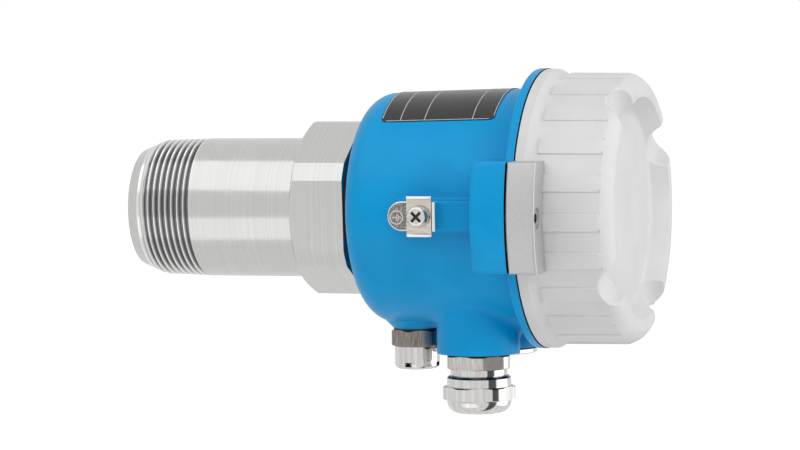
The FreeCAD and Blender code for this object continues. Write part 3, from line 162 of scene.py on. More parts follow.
# Patterns of the finishes, in repeats per metre along each axis
CLOUDS = (60, 60, 60)
FINE_CLOUDS = (900, 900, 900)
PEEL = (700, 700, 700)
TOOL_LINES = (2600, 9, 9)
TOOL_BANDS = (500, 30, 30)
GRIT = (2300, 2300, 2300)
SPECKLE = (3500, 3500, 3500)
BRUSHED_UP = (900, 900, 40)
COARSE_BRUSHED_UP = (2400, 2400, 250)
BRUSHED_ALONG = (150, 1500, 1500)

# Roughness of the turned steel, and the width over which one tint gives way to the next
STEEL_ROUGHNESS = (0.13, 0.20)
SOFT_EDGE = 0.05 * MM

# Distances within which vertices count as one, and as lying on a rim
WELD = 0.001 * MM
THREAD_WELD = 0.005 * MM
RIM_REACH = 0.002 * MM

# Angles past which a meeting of two faces stays a sharp edge
HEXAGON_SHARP = math.radians(18)
EDGE_SHARP = math.radians(32)


def new_material(name, color, roughness, metallic=0.0):
    """Material with one shader, whose constants sit on the shader's own sockets."""
    material = bpy.data.materials.new(name)
    material.use_nodes = True
    shader = material.node_tree.nodes["Principled BSDF"]
    shader.inputs["Base Color"].default_value = (*color, 1.0)
    shader.inputs["Roughness"].default_value = roughness
    shader.inputs["Metallic"].default_value = metallic
    return material, shader


def add_node(owner, kind, **settings):
    """New node in the tree of a material or of the world."""
    node = owner.node_tree.nodes.new(kind)
    for key, value in settings.items():
        setattr(node, key, value)
    return node


def link(owner, source, target):
    owner.node_tree.links.new(source, target)


def feed(owner, value, socket):
    """Puts a fixed value on a socket, or links another node's result to it."""
    if isinstance(value, bpy.types.NodeSocket):
        link(owner, value, socket)
    else:
        socket.default_value = value


def coordinate(material, axis, kind="Object"):
    """One of the object's own coordinates in metres, or one part of its normal."""
    coordinates = add_node(material, "ShaderNodeTexCoord")
    split = add_node(material, "ShaderNodeSeparateXYZ")
    link(material, coordinates.outputs[kind], split.inputs["Vector"])
    return split.outputs[axis]


def add_math(owner, operation, first, second):
    """Result of one sum on two values, each a number or another node's result."""
    node = add_node(owner, "ShaderNodeMath", operation=operation)
    feed(owner, first, node.inputs[0])
    feed(owner, second, node.inputs[1])
    return node.outputs["Value"]


def add_reach(material, first, second):
    """Length of two coordinates taken together."""
    across = add_node(material, "ShaderNodeCombineXYZ")
    link(material, first, across.inputs["X"])
    link(material, second, across.inputs["Y"])
    reach = add_node(material, "ShaderNodeVectorMath", operation="LENGTH")
    link(material, across.outputs["Vector"], reach.inputs[0])
    return reach.outputs["Value"]


def add_axis_reach(material):
    """Distance from the device's axis."""
    return add_reach(material, coordinate(material, "Y"), coordinate(material, "Z"))


def add_line(material, value, slope, start):
    """Value on a straight line of one slope."""
    return add_math(material, "ADD", add_math(material, "MULTIPLY", value, slope), start)


def add_noise(material, repeats, detail=3.0):
    """Noise over the object's coordinates, stretched to so many repeats per metre."""
    coordinates = add_node(material, "ShaderNodeTexCoord")
    mapping = add_node(material, "ShaderNodeMapping")
    mapping.inputs["Scale"].default_value = repeats
    link(material, coordinates.outputs["Object"], mapping.inputs["Vector"])
    noise = add_node(material, "ShaderNodeTexNoise")
    noise.inputs["Scale"].default_value = 1.0
    noise.inputs["Detail"].default_value = detail
    link(material, mapping.outputs["Vector"], noise.inputs["Vector"])
    return noise.outputs["Fac"]


def add_range(owner, value, low, high, start=0.3, end=0.7):
    """The value spread from start..end over low..high."""
    spread = add_node(owner, "ShaderNodeMapRange")
    spread.inputs["From Min"].default_value = start
    spread.inputs["From Max"].default_value = end
    spread.inputs["To Min"].default_value = low
    spread.inputs["To Max"].default_value = high
    link(owner, value, spread.inputs["Value"])
    return spread.outputs["Result"]


def add_step(material, value, start, width=SOFT_EDGE):
    """Mask that is zero up to the start and one past a soft edge."""
    return add_range(material, value, 0.0, 1.0, start, start + width)


def add_drop(material, value, end, width):
    """Mask that is one up to a soft edge and zero from the end on."""
    return add_range(material, value, 1.0, 0.0, end - width, end)


def set_roughness(material, shader, value, low, high, start=0.3, end=0.7):
    """Roughness led by a pattern or a mask."""
    spread = add_range(material, value, low, high, start, end)
    link(material, spread, shader.inputs["Roughness"])


def add_tint(material, shader, value, dark, light, start=0.3, end=0.7):
    """Base colour between two tints, led by a pattern."""
    ramp = add_node(material, "ShaderNodeValToRGB")
    ramp.color_ramp.elements[0].position = start
    ramp.color_ramp.elements[1].position = end
    ramp.color_ramp.elements[0].color = (*dark, 1.0)
    ramp.color_ramp.elements[1].color = (*light, 1.0)
    link(material, value, ramp.inputs["Fac"])
    link(material, ramp.outputs["Color"], shader.inputs["Base Color"])
    return ramp.outputs["Color"]


def add_mix(material, mask, under, over):
    """Colour that goes from the one under to the one over as the mask goes from zero to one."""
    mix = add_node(material, "ShaderNodeMixRGB")
    link(material, mask, mix.inputs["Fac"])
    link(material, under, mix.inputs["Color1"])
    feed(material, over, mix.inputs["Color2"])
    return mix.outputs["Color"]


def add_overlay(material, shader, under, mask, color):
    """Tint laid over the base colour where the mask is one."""
    tinted = add_mix(material, mask, under, (*color, 1.0))
    link(material, tinted, shader.inputs["Base Color"])
    return tinted


def add_ledge_shade(material, shader, under):
    """Painted shade on the faces that look up, where the light from above is hidden."""
    upward = add_range(material, coordinate(material, "Z", "Normal"), 0.0, 1.0,
                       LEDGE_LOW, LEDGE_HIGH)
    add_overlay(material, shader, under, upward, LEDGE_SHADE)


def add_bump(material, shader, value, height, strength):
    """Relief of a pattern, without any change of the mesh."""
    bump = add_node(material, "ShaderNodeBump")
    bump.inputs["Distance"].default_value = height
    bump.inputs["Strength"].default_value = strength
    link(material, value, bump.inputs["Height"])
    link(material, bump.outputs["Normal"], shader.inputs["Normal"])


def painted(name, dark, light, roughness, gleam, joint_x):
    """Baked coating on a casting: uneven colour, orange-peel surface, painted shade at the joint.
    """
    material, shader = new_material(name, light, roughness)
    shader.inputs["Specular IOR Level"].default_value = gleam
    coat = add_tint(material, shader, add_noise(material, CLOUDS), dark, light)
    # Painted shade on the outer ring of the face at the joint
    from_joint = add_math(material, "SUBTRACT", coordinate(material, "X"), joint_x)
    off_joint = add_math(material, "ABSOLUTE", from_joint, 0.0)
    at_joint = add_drop(material, off_joint, JOINT_REACH, 0.02 * MM)
    outside = add_step(material, add_axis_reach(material), JOINT_INNER_R, 0.2 * MM)
    shade = add_math(material, "MULTIPLY", at_joint, outside)
    add_overlay(material, shader, coat, shade, JOINT_SHADE)
    peel = add_noise(material, PEEL, detail=2.0)
    set_roughness(material, shader, peel, roughness - 0.04, roughness + 0.05)
    add_bump(material, shader, peel, height=0.02 * MM, strength=0.6)
    return material


def turned_steel():
    """Stainless steel turned and milled across the axis, with fine tool lines."""
    dark = (0.62, 0.62, 0.615)
    light = (0.72, 0.72, 0.71)
    material, shader = new_material("turned_steel", light, roughness=0.16, metallic=1.0)
    tool_lines = add_noise(material, TOOL_LINES, detail=4.0)
    add_tint(material, shader, tool_lines, dark, light, start=0.25, end=0.75)
    bands = add_noise(material, TOOL_BANDS, detail=2.0)
    set_roughness(material, shader, bands, *STEEL_ROUGHNESS)
    add_bump(material, shader, tool_lines, height=0.006 * MM, strength=0.5)
    return material


def thread_steel():
    """Turned steel with painted shade that darkens it towards the bottom of the thread's groove.
    """
    crest_tint = (0.90, 0.90, 0.89)
    root_shade_tint = (0.32, 0.32, 0.32)
    material, shader = new_material("thread_steel", (0.80, 0.80, 0.79), roughness=0.16,
                                    metallic=1.0)
    x = coordinate(material, "X")
    taper = add_line(material, x, THREAD_TAPER, BARREL_R - THREAD_END_X * THREAD_TAPER)
    cone = add_line(material, x, NOSE_CONE_SLOPE,
                    cone_radius() - NOSE_CONE_START_X * NOSE_CONE_SLOPE)
    crest = add_math(material, "MINIMUM", taper, cone)
    depth = add_math(material, "SUBTRACT", crest, add_axis_reach(material))
    # Painted shade, growing from the crest down to the root of the groove
    groove = add_step(material, depth, start=0.12 * MM, width=0.78 * MM)
    add_tint(material, shader, groove, crest_tint, root_shade_tint, start=0.0, end=1.0)
    tool_lines = add_noise(material, TOOL_LINES, detail=4.0)
    set_roughness(material, shader, tool_lines, *STEEL_ROUGHNESS)
    return material


def stamped_steel():
    """Coarse-stamped sheet with a painted highlight on its rim and lip, and painted shade in the
    gap beside the saddle.
    """
    dark = (0.14, 0.13, 0.13)
    light = (0.46, 0.44, 0.42)
    highlight_tint = (0.93, 0.92, 0.90)
    gap_shade_tint = (0.11, 0.075, 0.06)
    material, shader = new_material("stamped_steel", (0.5, 0.48, 0.46), roughness=0.38,
                                    metallic=1.0)
    x = coordinate(material, "X")
    grit = add_noise(material, GRIT, detail=4.0)
    face = add_tint(material, shader, grit, dark, light, start=0.36, end=0.66)
    # Painted highlight on the plate's rim and on the lip's face
    past_end = add_math(material, "MAXIMUM",
                        add_math(material, "SUBTRACT", EARTH_PLATE_END_X, x), 0.0)
    reach = add_reach(material, past_end, coordinate(material, "Z"))
    rim = add_step(material, reach, EARTH_PLATE_R - EARTH_PLATE_RIM, 0.1 * MM)
    lip = add_step(material, x, EARTH_GAP_END_X)
    bright = add_math(material, "MAXIMUM", rim, lip)
    surface_tone = add_overlay(material, shader, face, bright, highlight_tint)
    # Painted shade on the plate's face in the gap beside the saddle
    gap = add_math(material, "SUBTRACT", add_step(material, x, EARTH_GAP_START_X), lip)
    add_overlay(material, shader, surface_tone, gap, gap_shade_tint)
    set_roughness(material, shader, bright, 0.42, 0.15, start=0.0, end=1.0)
    add_bump(material, shader, grit, height=0.05 * MM, strength=0.6)
    return material


def recessed_screw():
    """Bright screw with painted shade inside its cross recess."""
    dark = (0.62, 0.60, 0.58)
    light = (0.84, 0.83, 0.82)
    recess_shade_tint = (0.07, 0.05, 0.04)
    material, shader = new_material("recessed_screw", (0.8, 0.79, 0.77), roughness=0.18,
                                    metallic=1.0)
    clouds = add_noise(material, FINE_CLOUDS)
    head = add_tint(material, shader, clouds, dark, light)
    # Painted shade inside the cross recess
    beside = add_math(material, "SUBTRACT", coordinate(material, "X"), EARTH_SCREW_X)
    reach = add_reach(material, beside, coordinate(material, "Z"))
    near = add_drop(material, reach, RECESS_R, 0.1 * MM)
    deep = add_step(material, coordinate(material, "Y"), RECESS_Y, 0.3 * MM)
    recess_shade = add_math(material, "MULTIPLY", near, deep)
    add_overlay(material, shader, head, recess_shade, recess_shade_tint)
    set_roughness(material, shader, clouds, 0.12, 0.24)
    return material


def nickel(name, dark, light, roughness):
    """Nickel-plated turned brass, brushed along its axis, with painted shade on its upward
    ledges.
    """
    material, shader = new_material(name, light, roughness, metallic=1.0)
    brushing = add_noise(material, BRUSHED_UP)
    add_ledge_shade(material, shader, add_tint(material, shader, brushing, dark, light))
    set_roughness(material, shader, brushing, roughness * 0.7, roughness * 1.5)
    add_bump(material, shader, brushing, height=0.004 * MM, strength=0.4)
    return material


def hexagon_nickel(name, hexagon_z, dark, light, roughness):
    """Bright nickel with a hexagon above one height that is tinted and coarsely brushed, and
    painted shade on upward ledges.
    """
    bright_dark = (0.62, 0.61, 0.60)
    bright_light = (0.86, 0.85, 0.84)
    bright_roughness = 0.09
    material, shader = new_material(name, light, roughness, metallic=1.0)
    brushing = add_noise(material, BRUSHED_UP)
    bright = add_tint(material, shader, brushing, bright_dark, bright_light)
    coarse = add_noise(material, COARSE_BRUSHED_UP, detail=4.0)
    surface_tone = add_tint(material, shader, coarse, dark, light)
    hexagon = add_step(material, coordinate(material, "Z"), hexagon_z)
    add_ledge_shade(material, shader, add_mix(material, hexagon, bright, surface_tone))
    set_roughness(material, shader, hexagon, bright_roughness, roughness, start=0.0, end=1.0)
    add_bump(material, shader, brushing, height=0.004 * MM, strength=0.4)
    return material


def saddle_steel():
    """Pressed strip brushed along its length, with a painted highlight on its folded edges."""
    dark = (0.66, 0.60, 0.53)
    light = (0.82, 0.76, 0.68)
    fold_highlight_tint = (0.95, 0.94, 0.92)
    material, shader = new_material("saddle_steel", (0.75, 0.68, 0.60), roughness=0.25,
                                    metallic=1.0)
    brushing = add_noise(material, BRUSHED_ALONG)
    face = add_tint(material, shader, brushing, dark, light)
    # Painted highlight on the folded edges above and below
    height = add_math(material, "ABSOLUTE", coordinate(material, "Z"), 0.0)
    fold_highlight = add_step(material, height, SADDLE_FOLD_Z, 0.15 * MM)
    add_overlay(material, shader, face, fold_highlight, fold_highlight_tint)
    set_roughness(material, shader, fold_highlight, 0.26, 0.16, start=0.0, end=1.0)
    add_bump(material, shader, brushing, height=0.006 * MM, strength=0.4)
    return material


def cast_silver():
    """Blasted casting with fine bright and dark speckle."""
    dark = (0.50, 0.496, 0.50)
    light = (0.59, 0.586, 0.59)
    material, shader = new_material("cast_silver", (0.60, 0.60, 0.59), roughness=0.45,
                                    metallic=0.7)
    speckle = add_noise(material, SPECKLE)
    add_tint(material, shader, speckle, dark, light, start=0.36, end=0.64)
    set_roughness(material, shader, speckle, 0.40, 0.52)
    add_bump(material, shader, speckle, height=0.012 * MM, strength=0.4)
    return material


def plain_finish(name, dark, light, roughness, metallic=0.0, grain=900.0):
    """Moulded, pressed or rubber surface with a fine grain, in repeats per metre."""
    material, shader = new_material(name, light, roughness, metallic)
    noise = add_noise(material, (grain, grain, grain))
    add_tint(material, shader, noise, dark, light)
    set_roughness(material, shader, noise, roughness * 0.85, min(1.0, roughness * 1.15))
    add_bump(material, shader, noise, height=0.01 * MM, strength=0.5)
    return material


def dress(material, *names):
    """Puts one material on whole nodes of the frame."""
    for name in names:
        mesh = nodes[name].data
        mesh.materials.clear()
        mesh.materials.append(material)


def node_copy(name):
    """Copy of a solid's mesh, with the vertices of neighbouring faces made one."""
    bm = bmesh.new()
    bm.from_mesh(nodes[name].data)
    bmesh.ops.remove_doubles(bm, verts=bm.verts, dist=WELD)
    return bm


def add_mesh_object(name, bm, material, body, sharp):
    """Finished mesh as a new piece that rides on a body."""
    bmesh.ops.recalc_face_normals(bm, faces=bm.faces)
    mesh = bpy.data.meshes.new(name)
    bm.to_mesh(mesh)
    bm.free()
    for face in mesh.polygons:
        face.use_smooth = True
    mesh.set_sharp_from_angle(angle=sharp)
    mesh.materials.append(material)
    piece = bpy.data.objects.new(name, mesh)
    bpy.context.scene.collection.objects.link(piece)
    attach(piece, body)
    return piece


def cone_radius():
    """Radius of the nose cone where it starts to narrow."""
    return BARREL_R + (NOSE_CONE_START_X - THREAD_END_X) * THREAD_TAPER


def crest_radius(x):
    """Radius of the tapered crests, and of the nose cone ahead of them."""
    radius = BARREL_R + (x - THREAD_END_X) * THREAD_TAPER
    if x < NOSE_CONE_START_X:
        radius = cone_radius() + (x - NOSE_CONE_START_X) * NOSE_CONE_SLOPE
    return radius


def root_meets_cone():
    """Place on the nose cone where it has come down to the thread's root."""
    x = NOSE_CONE_START_X
    while crest_radius(x) > BARREL_R + (x - THREAD_END_X) * THREAD_TAPER - THREAD_DEPTH:
        x -= NOSE_STEP
    return x


def cut_across(bm, x, **clear):
    """Cuts the mesh at one place along the axis."""
    bmesh.ops.bisect_plane(bm, geom=bm.verts[:] + bm.edges[:] + bm.faces[:],
                           plane_co=(x, 0, 0), plane_no=(1, 0, 0), **clear)


def open_ring(bm, x):
    """Edges of the open rim that lies at one place along the axis."""
    found = []
    for edge in bm.edges:
        if edge.is_boundary and all(abs(vert.co.x - x) < RIM_REACH for vert in edge.verts):
            found.append(edge)
    return found


def extend_rim(bm, x, new_x):
    """Plain round wall from an open rim to a new place along the axis."""
    new = bmesh.ops.extrude_edge_only(bm, edges=open_ring(bm, x))
    verts = [item for item in new["geom"] if isinstance(item, bmesh.types.BMVert)]
    bmesh.ops.translate(bm, verts=verts, vec=(new_x - x, 0, 0))


def fit_to_taper(bm):
    """Brings a straight thread to its taper, and down to the nose cone at its front."""
    for vert in bm.verts:
        radius = math.hypot(vert.co.y, vert.co.z)
        tapered = radius + (vert.co.x - THREAD_END_X) * THREAD_TAPER
        if vert.co.x > THREAD_END_X - THREAD_FADE / 2:
            tapered = BARREL_R
        wanted = min(tapered, crest_radius(vert.co.x))
        vert.co.y *= wanted / radius
        vert.co.z *= wanted / radius


def thread_mesh(start_x):
    """Helical thread from one profile spun along the axis, cut square at both ends."""
    bm = bmesh.new()
    flank = (THREAD_PITCH - CREST_FLAT - ROOT_FLAT) / 2
    crest = BARREL_R
    root = BARREL_R - THREAD_DEPTH
    # Whole turns, with at least one pitch to spare at each end for the cuts
    before = math.ceil((GROOVE_X - start_x) / THREAD_PITCH + 1.5)
    first = GROOVE_X + ROOT_FLAT / 2 - before * THREAD_PITCH
    turns = math.ceil((THREAD_END_X - first) / THREAD_PITCH) + 1
    profile = [
        (first, root),
        (first + flank, crest),
        (first + flank + CREST_FLAT, crest),
        (first + THREAD_PITCH - ROOT_FLAT, root),
        (first + THREAD_PITCH, root),
    ]
    verts = [bm.verts.new((x, -radius, 0)) for x, radius in profile]
    edges = [bm.edges.new(pair) for pair in zip(verts, verts[1:])]
    bmesh.ops.spin(bm, geom=verts + edges, cent=(0, 0, 0), axis=(1, 0, 0),
                   dvec=(THREAD_PITCH / THREAD_STEPS, 0, 0), angle=turns * math.tau,
                   steps=turns * THREAD_STEPS, use_duplicate=False)
    bmesh.ops.remove_doubles(bm, verts=bm.verts, dist=THREAD_WELD)
    cut_across(bm, start_x, clear_inner=True)
    cut_across(bm, THREAD_END_X - THREAD_FADE)
    cut_across(bm, THREAD_END_X, clear_outer=True)
    fit_to_taper(bm)
    for face in bm.faces:
        face.material_index = THREAD_SLOT
    return bm


def add_smooth_barrel(thread, end_x):
    """Run-out and smooth barrel behind the thread."""
    runout_end = THREAD_END_X + THREAD_RUNOUT
    extend_rim(thread, THREAD_END_X, runout_end)
    extend_rim(thread, runout_end, end_x)
    for face in thread.faces:
        if face.calc_center_median().x > THREAD_END_X:
            face.material_index = BARREL_SLOT


def open_barrel(bm, start_x, end_x):
    """Takes the barrel's outer wall away between two places along the axis."""
    cut_across(bm, start_x)
    cut_across(bm, end_x)
    wall = []
    for face in bm.faces:
        middle = face.calc_center_median()
        outside = math.hypot(middle.y, middle.z) > BARREL_R - 2 * THREAD_DEPTH
        if outside and start_x < middle.x < end_x:
            wall.append(face)
    bmesh.ops.delete(bm, geom=wall, context="FACES")


def move_into(bm, other):
    """Puts all of another mesh into this one."""
    spare = bpy.data.meshes.new("spare")
    other.to_mesh(spare)
    other.free()
    bm.from_mesh(spare)
    bpy.data.meshes.remove(spare)


def threaded_connection(material, groove_material):
    """The process connection with its helical thread and a smooth barrel."""
    start_x = root_meets_cone()
    end_x = -HEXAGON_GAP
    thread_end_x = end_x - HEXAGON_GAP
    bm = node_copy("process_connection")
    open_barrel(bm, start_x, end_x)
    front = open_ring(bm, start_x)
    back = open_ring(bm, end_x)
    thread = thread_mesh(start_x)
    add_smooth_barrel(thread, thread_end_x)
    move_into(bm, thread)
    thread_front = [edge for edge in open_ring(bm, start_x) if edge not in front]
    bmesh.ops.bridge_loops(bm, edges=front + thread_front)
    bmesh.ops.bridge_loops(bm, edges=back + open_ring(bm, thread_end_x))
    piece = add_mesh_object("threaded_connection", bm, material, "housing_body",
                            HEXAGON_SHARP)
    piece.data.materials.append(groove_material)
    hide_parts("process_connection")


def clear_groove(bm, angle):
    """Draws the ribs' ends back behind the wall of one gripping groove."""
    for vert in bm.verts:
        outwards = vert.co.z * math.cos(angle) - vert.co.y * math.sin(angle)
        across = vert.co.y * math.cos(angle) + vert.co.z * math.sin(angle)
        reach = math.hypot(vert.co.x - GROOVE_CENTRE_X, across)
        if outwards > RIBS_INNER_R and reach < GROOVE_R - GROOVE_SKIN:
            wall_x = GROOVE_CENTRE_X - math.sqrt(GROOVE_R ** 2 - across ** 2)
            vert.co.x = wall_x - GROOVE_SKIN


def ribbed_cover(material):
    """The screw cover, its ribs stopped at the gripping grooves."""
    bm = node_copy("cover")
    for index in range(GROOVE_COUNT):
        clear_groove(bm, GROOVE_PHASE + math.tau * index / GROOVE_COUNT)
    piece = add_mesh_object("ribbed_cover", bm, material, "cover_body", EDGE_SHARP)
    weighted = piece.modifiers.new("weighted", "WEIGHTED_NORMAL")
    weighted.keep_sharp = True
    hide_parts("cover")


def plate_radius(x):
    """Radius of the name plate's face at one place along the housing."""
    return PLATE_R + (x - PLATE_START_X) * PLATE_DRAFT


def add_rule_across(bm, x, half_angle):
    """Raised line round the plate at one place along the housing."""
    low = plate_radius(x)
    high = low + RULE_LIFT
    start_x = x - RULE_WIDTH / 2
    end_x = x + RULE_WIDTH / 2
    section = [(start_x, 0, low), (end_x, 0, low), (end_x, 0, high), (start_x, 0, high)]
    corners = [bm.verts.new(corner) for corner in section]
    face = bm.faces.new(corners)
    bmesh.ops.rotate(bm, verts=corners, cent=(0, 0, 0),
                     matrix=Matrix.Rotation(-half_angle, 3, "X"))
    bmesh.ops.spin(bm, geom=corners + list(face.edges) + [face], cent=(0, 0, 0),
                   axis=(1, 0, 0), angle=2 * half_angle, steps=RULE_STEPS, use_duplicate=False)


def add_rule_along(bm, start_x, end_x, angle):
    """Raised line along the plate at one angle from its top."""
    middle = (start_x + end_x) / 2
    made = bmesh.ops.create_cube(bm, size=1.0)["verts"]
    bmesh.ops.scale(bm, verts=made, vec=(end_x - start_x, RULE_WIDTH, RULE_LIFT))
    for vert in made:
        vert.co.z += plate_radius(middle + vert.co.x) + RULE_LIFT / 2
    bmesh.ops.translate(bm, verts=made, vec=(middle, 0, 0))
    bmesh.ops.rotate(bm, verts=made, cent=(0, 0, 0), matrix=Matrix.Rotation(angle, 3, "X"))


def plate_rules(material):
    """Pale frame and dividing lines of the bare name plate."""
    bm = bmesh.new()
    frame_angle = PLATE_HALF_ANGLE - RULE_MARGIN / PLATE_R
    start_x = PLATE_START_X + RULE_MARGIN
    end_x = PLATE_END_X - RULE_MARGIN
    for x in RULE_X:
        add_rule_across(bm, x, frame_angle)
    for x in (start_x, end_x):
        add_rule_across(bm, x, frame_angle - RULE_CORNER / PLATE_R)
    for angle in (-frame_angle, frame_angle):
        add_rule_along(bm, start_x + RULE_CORNER, end_x - RULE_CORNER, angle)
    add_mesh_object("plate_rules", bm, material, "housing_body", EDGE_SHARP)


def add_bar(bm, start_x, end_x, half_height):
    """Bar of the earth sign, raised from the plate's face."""
    made = bmesh.ops.create_cube(bm, size=1.0)["verts"]
    bmesh.ops.scale(bm, verts=made, vec=(end_x - start_x, SIGN_LIFT, 2 * half_height))
    middle = (SIGN_X + (start_x + end_x) / 2, EARTH_PLATE_FACE_Y - SIGN_LIFT / 2, SIGN_Z)
    bmesh.ops.translate(bm, verts=made, vec=middle)


def add_ring(bm):
    """Ring of the earth sign, raised from the plate's face."""
    inner = SIGN_X + SIGN_R - SIGN_LINE / 2
    outer = inner + SIGN_LINE
    low = EARTH_PLATE_FACE_Y
    high = low - SIGN_LIFT
    section = [(inner, low, SIGN_Z), (outer, low, SIGN_Z), (outer, high, SIGN_Z),
               (inner, high, SIGN_Z)]
    corners = [bm.verts.new(corner) for corner in section]
    edges = [bm.edges.new(pair) for pair in zip(corners, corners[1:] + corners[:1])]
    bmesh.ops.spin(bm, geom=corners + edges, cent=(SIGN_X, 0, SIGN_Z), axis=(0, 1, 0),
                   angle=math.tau, steps=SIGN_STEPS, use_merge=True, use_duplicate=False)


def earth_mark(material):
    """Raised ring with a stem and three bars, the common sign for an earth."""
    bm = bmesh.new()
    add_ring(bm)
    half = SIGN_BAR_LINE / 2
    add_bar(bm, *SIGN_STEM, half)
    for x, half_height in SIGN_BARS:
        add_bar(bm, x - half, x + half, half_height)
    add_mesh_object("earth_mark", bm, material, "housing_body", EDGE_SHARP)


def away_from(azimuth, elevation):
    """Direction from the object towards a heading, at a height above level."""
    return Vector((math.sin(azimuth) * math.cos(elevation),
                   -math.cos(azimuth) * math.cos(elevation), math.sin(elevation)))


def camera():
    """Camera at the photograph's place, turned and rolled as there."""
    back = away_from(CAMERA_AZIMUTH, CAMERA_ELEVATION)
    right = Vector((math.cos(CAMERA_AZIMUTH), math.sin(CAMERA_AZIMUTH), 0))
    up = back.cross(right)
    rolled_right = right * math.cos(CAMERA_ROLL) - up * math.sin(CAMERA_ROLL)
    rolled_up = right * math.sin(CAMERA_ROLL) + up * math.cos(CAMERA_ROLL)
    turn = Matrix((rolled_right, rolled_up, back)).transposed()
    data = bpy.data.cameras.new("camera")
    data.lens = CAMERA_LENS
    data.sensor_width = CAMERA_SENSOR
    data.clip_end = CAMERA_FAR
    shot = bpy.data.objects.new("camera", data)
    shot.matrix_world = Matrix.Translation(CAMERA_PLACE) @ turn.to_4x4()
    bpy.context.scene.collection.objects.link(shot)
    bpy.context.scene.camera = shot


def soft_box(name, azimuth, elevation, distance, width, height, radiance, mirrored):
    """Rectangular lamp that faces the object: seen only in reflections, or only a soft light."""
    away = away_from(math.radians(azimuth), math.radians(elevation))
    data = bpy.data.lights.new(name, "AREA")
    data.shape = "RECTANGLE"
    data.size = width
    data.size_y = height
    data.energy = radiance * math.pi * width * height
    lamp = bpy.data.objects.new(name, data)
    middle = (cad_box[0] + cad_box[1]) / 2
    lamp.location = middle + away * distance
    lamp.rotation_euler = away.to_track_quat("Z", "Y").to_euler()
    lamp.visible_camera = False
    lamp.visible_glossy = mirrored
    lamp.visible_diffuse = not mirrored
    bpy.context.scene.collection.objects.link(lamp)


def add_vector_math(world, operation, vector, other=(0, 0, 0)):
    node = add_node(world, "ShaderNodeVectorMath", operation=operation)
    link(world, vector, node.inputs[0])
    node.inputs[1].default_value = other
    return node.outputs


def dark_card(world):
    """Strength of the sky in reflections, dim beside the object as with a tall black card."""
    towards_card = (math.sin(CARD_AZIMUTH), -math.cos(CARD_AZIMUTH), 0)
    direction = add_node(world, "ShaderNodeTexCoord").outputs["Generated"]
    level = add_vector_math(world, "MULTIPLY", direction, (1, 1, 0))["Vector"]
    heading = add_vector_math(world, "NORMALIZE", level)["Vector"]
    nearness = add_vector_math(world, "DOT_PRODUCT", heading, towards_card)["Value"]
    tone = add_node(world, "ShaderNodeMapRange", interpolation_type="SMOOTHSTEP")
    tone.inputs["From Min"].default_value = math.cos(CARD_HALF_WIDTH + CARD_EDGE)
    tone.inputs["From Max"].default_value = math.cos(CARD_HALF_WIDTH)
    tone.inputs["To Min"].default_value = SKY_GLOSS
    tone.inputs["To Max"].default_value = CARD_TONE
    link(world, nearness, tone.inputs["Value"])
    return tone.outputs["Result"]


def add_choice(world, chosen, strength, otherwise):
    """One strength for the rays that are chosen, and another for the rest."""
    choice = add_node(world, "ShaderNodeMix")
    feed(world, otherwise, choice.inputs["A"])
    feed(world, strength, choice.inputs["B"])
    link(world, chosen, choice.inputs["Factor"])
    return choice.outputs["Result"]


def sky():
    """White behind the object, dimmer as light, and with a dark card in reflections."""
    world = bpy.data.worlds.new("studio")
    world.use_nodes = True
    bpy.context.scene.world = world
    background = world.node_tree.nodes["Background"]
    background.inputs["Color"].default_value = (*WHITE, 1.0)
    rays = add_node(world, "ShaderNodeLightPath").outputs
    light = add_choice(world, rays["Is Glossy Ray"], dark_card(world), SKY_DIFFUSE)
    seen = add_choice(world, rays["Is Camera Ray"], 1.0, light)
    link(world, seen, background.inputs["Strength"])


def white_floor():
    """Floor that keeps the soft shadow, white to the camera and hidden from reflections."""
    material, shader = new_material("floor", FLOOR_COLOR, FLOOR_ROUGHNESS)
    shader.inputs["Emission Color"].default_value = (*WHITE, 1.0)
    rays = add_node(material, "ShaderNodeLightPath").outputs
    glow = add_math(material, "MULTIPLY", rays["Is Camera Ray"], FLOOR_GLOW)
    link(material, glow, shader.inputs["Emission Strength"])
    bm = bmesh.new()
    bmesh.ops.create_grid(bm, x_segments=1, y_segments=1, size=FLOOR_SIZE / 2)
    bmesh.ops.translate(bm, verts=bm.verts, vec=(0, 0, FLOOR_Z))
    mesh = bpy.data.meshes.new("floor")
    bm.to_mesh(mesh)
    bm.free()
    mesh.materials.append(material)
    floor = bpy.data.objects.new("floor", mesh)
    floor.visible_glossy = False
    bpy.context.scene.collection.objects.link(floor)


def lamps():
    """Three soft boxes that only light, and three strips that only show in the metal."""
    soft_box("upper_light", azimuth=-20, elevation=48, distance=1.0, width=1.7, height=0.84,
             radiance=1.2, mirrored=False)
    soft_box("lower_light", azimuth=-20, elevation=-33, distance=0.5, width=1.3, height=0.23,
             radiance=0.7, mirrored=False)
    soft_box("side_light", azimuth=76, elevation=22, distance=1.2, width=0.9, height=1.2,
             radiance=2.4, mirrored=False)
    soft_box("upper_strip", azimuth=-20, elevation=54, distance=1.0, width=1.7, height=0.92,
             radiance=0.46, mirrored=True)
    soft_box("lower_strip", azimuth=-20, elevation=-30, distance=0.8, width=0.8, height=0.51,
             radiance=0.34, mirrored=True)
    soft_box("side_strip", azimuth=110, elevation=5, distance=1.2, width=1.2, height=1.5,
             radiance=1.2, mirrored=True)


bpy.context.scene.view_settings.view_transform = "Standard"
camera()
sky()
white_floor()
lamps()

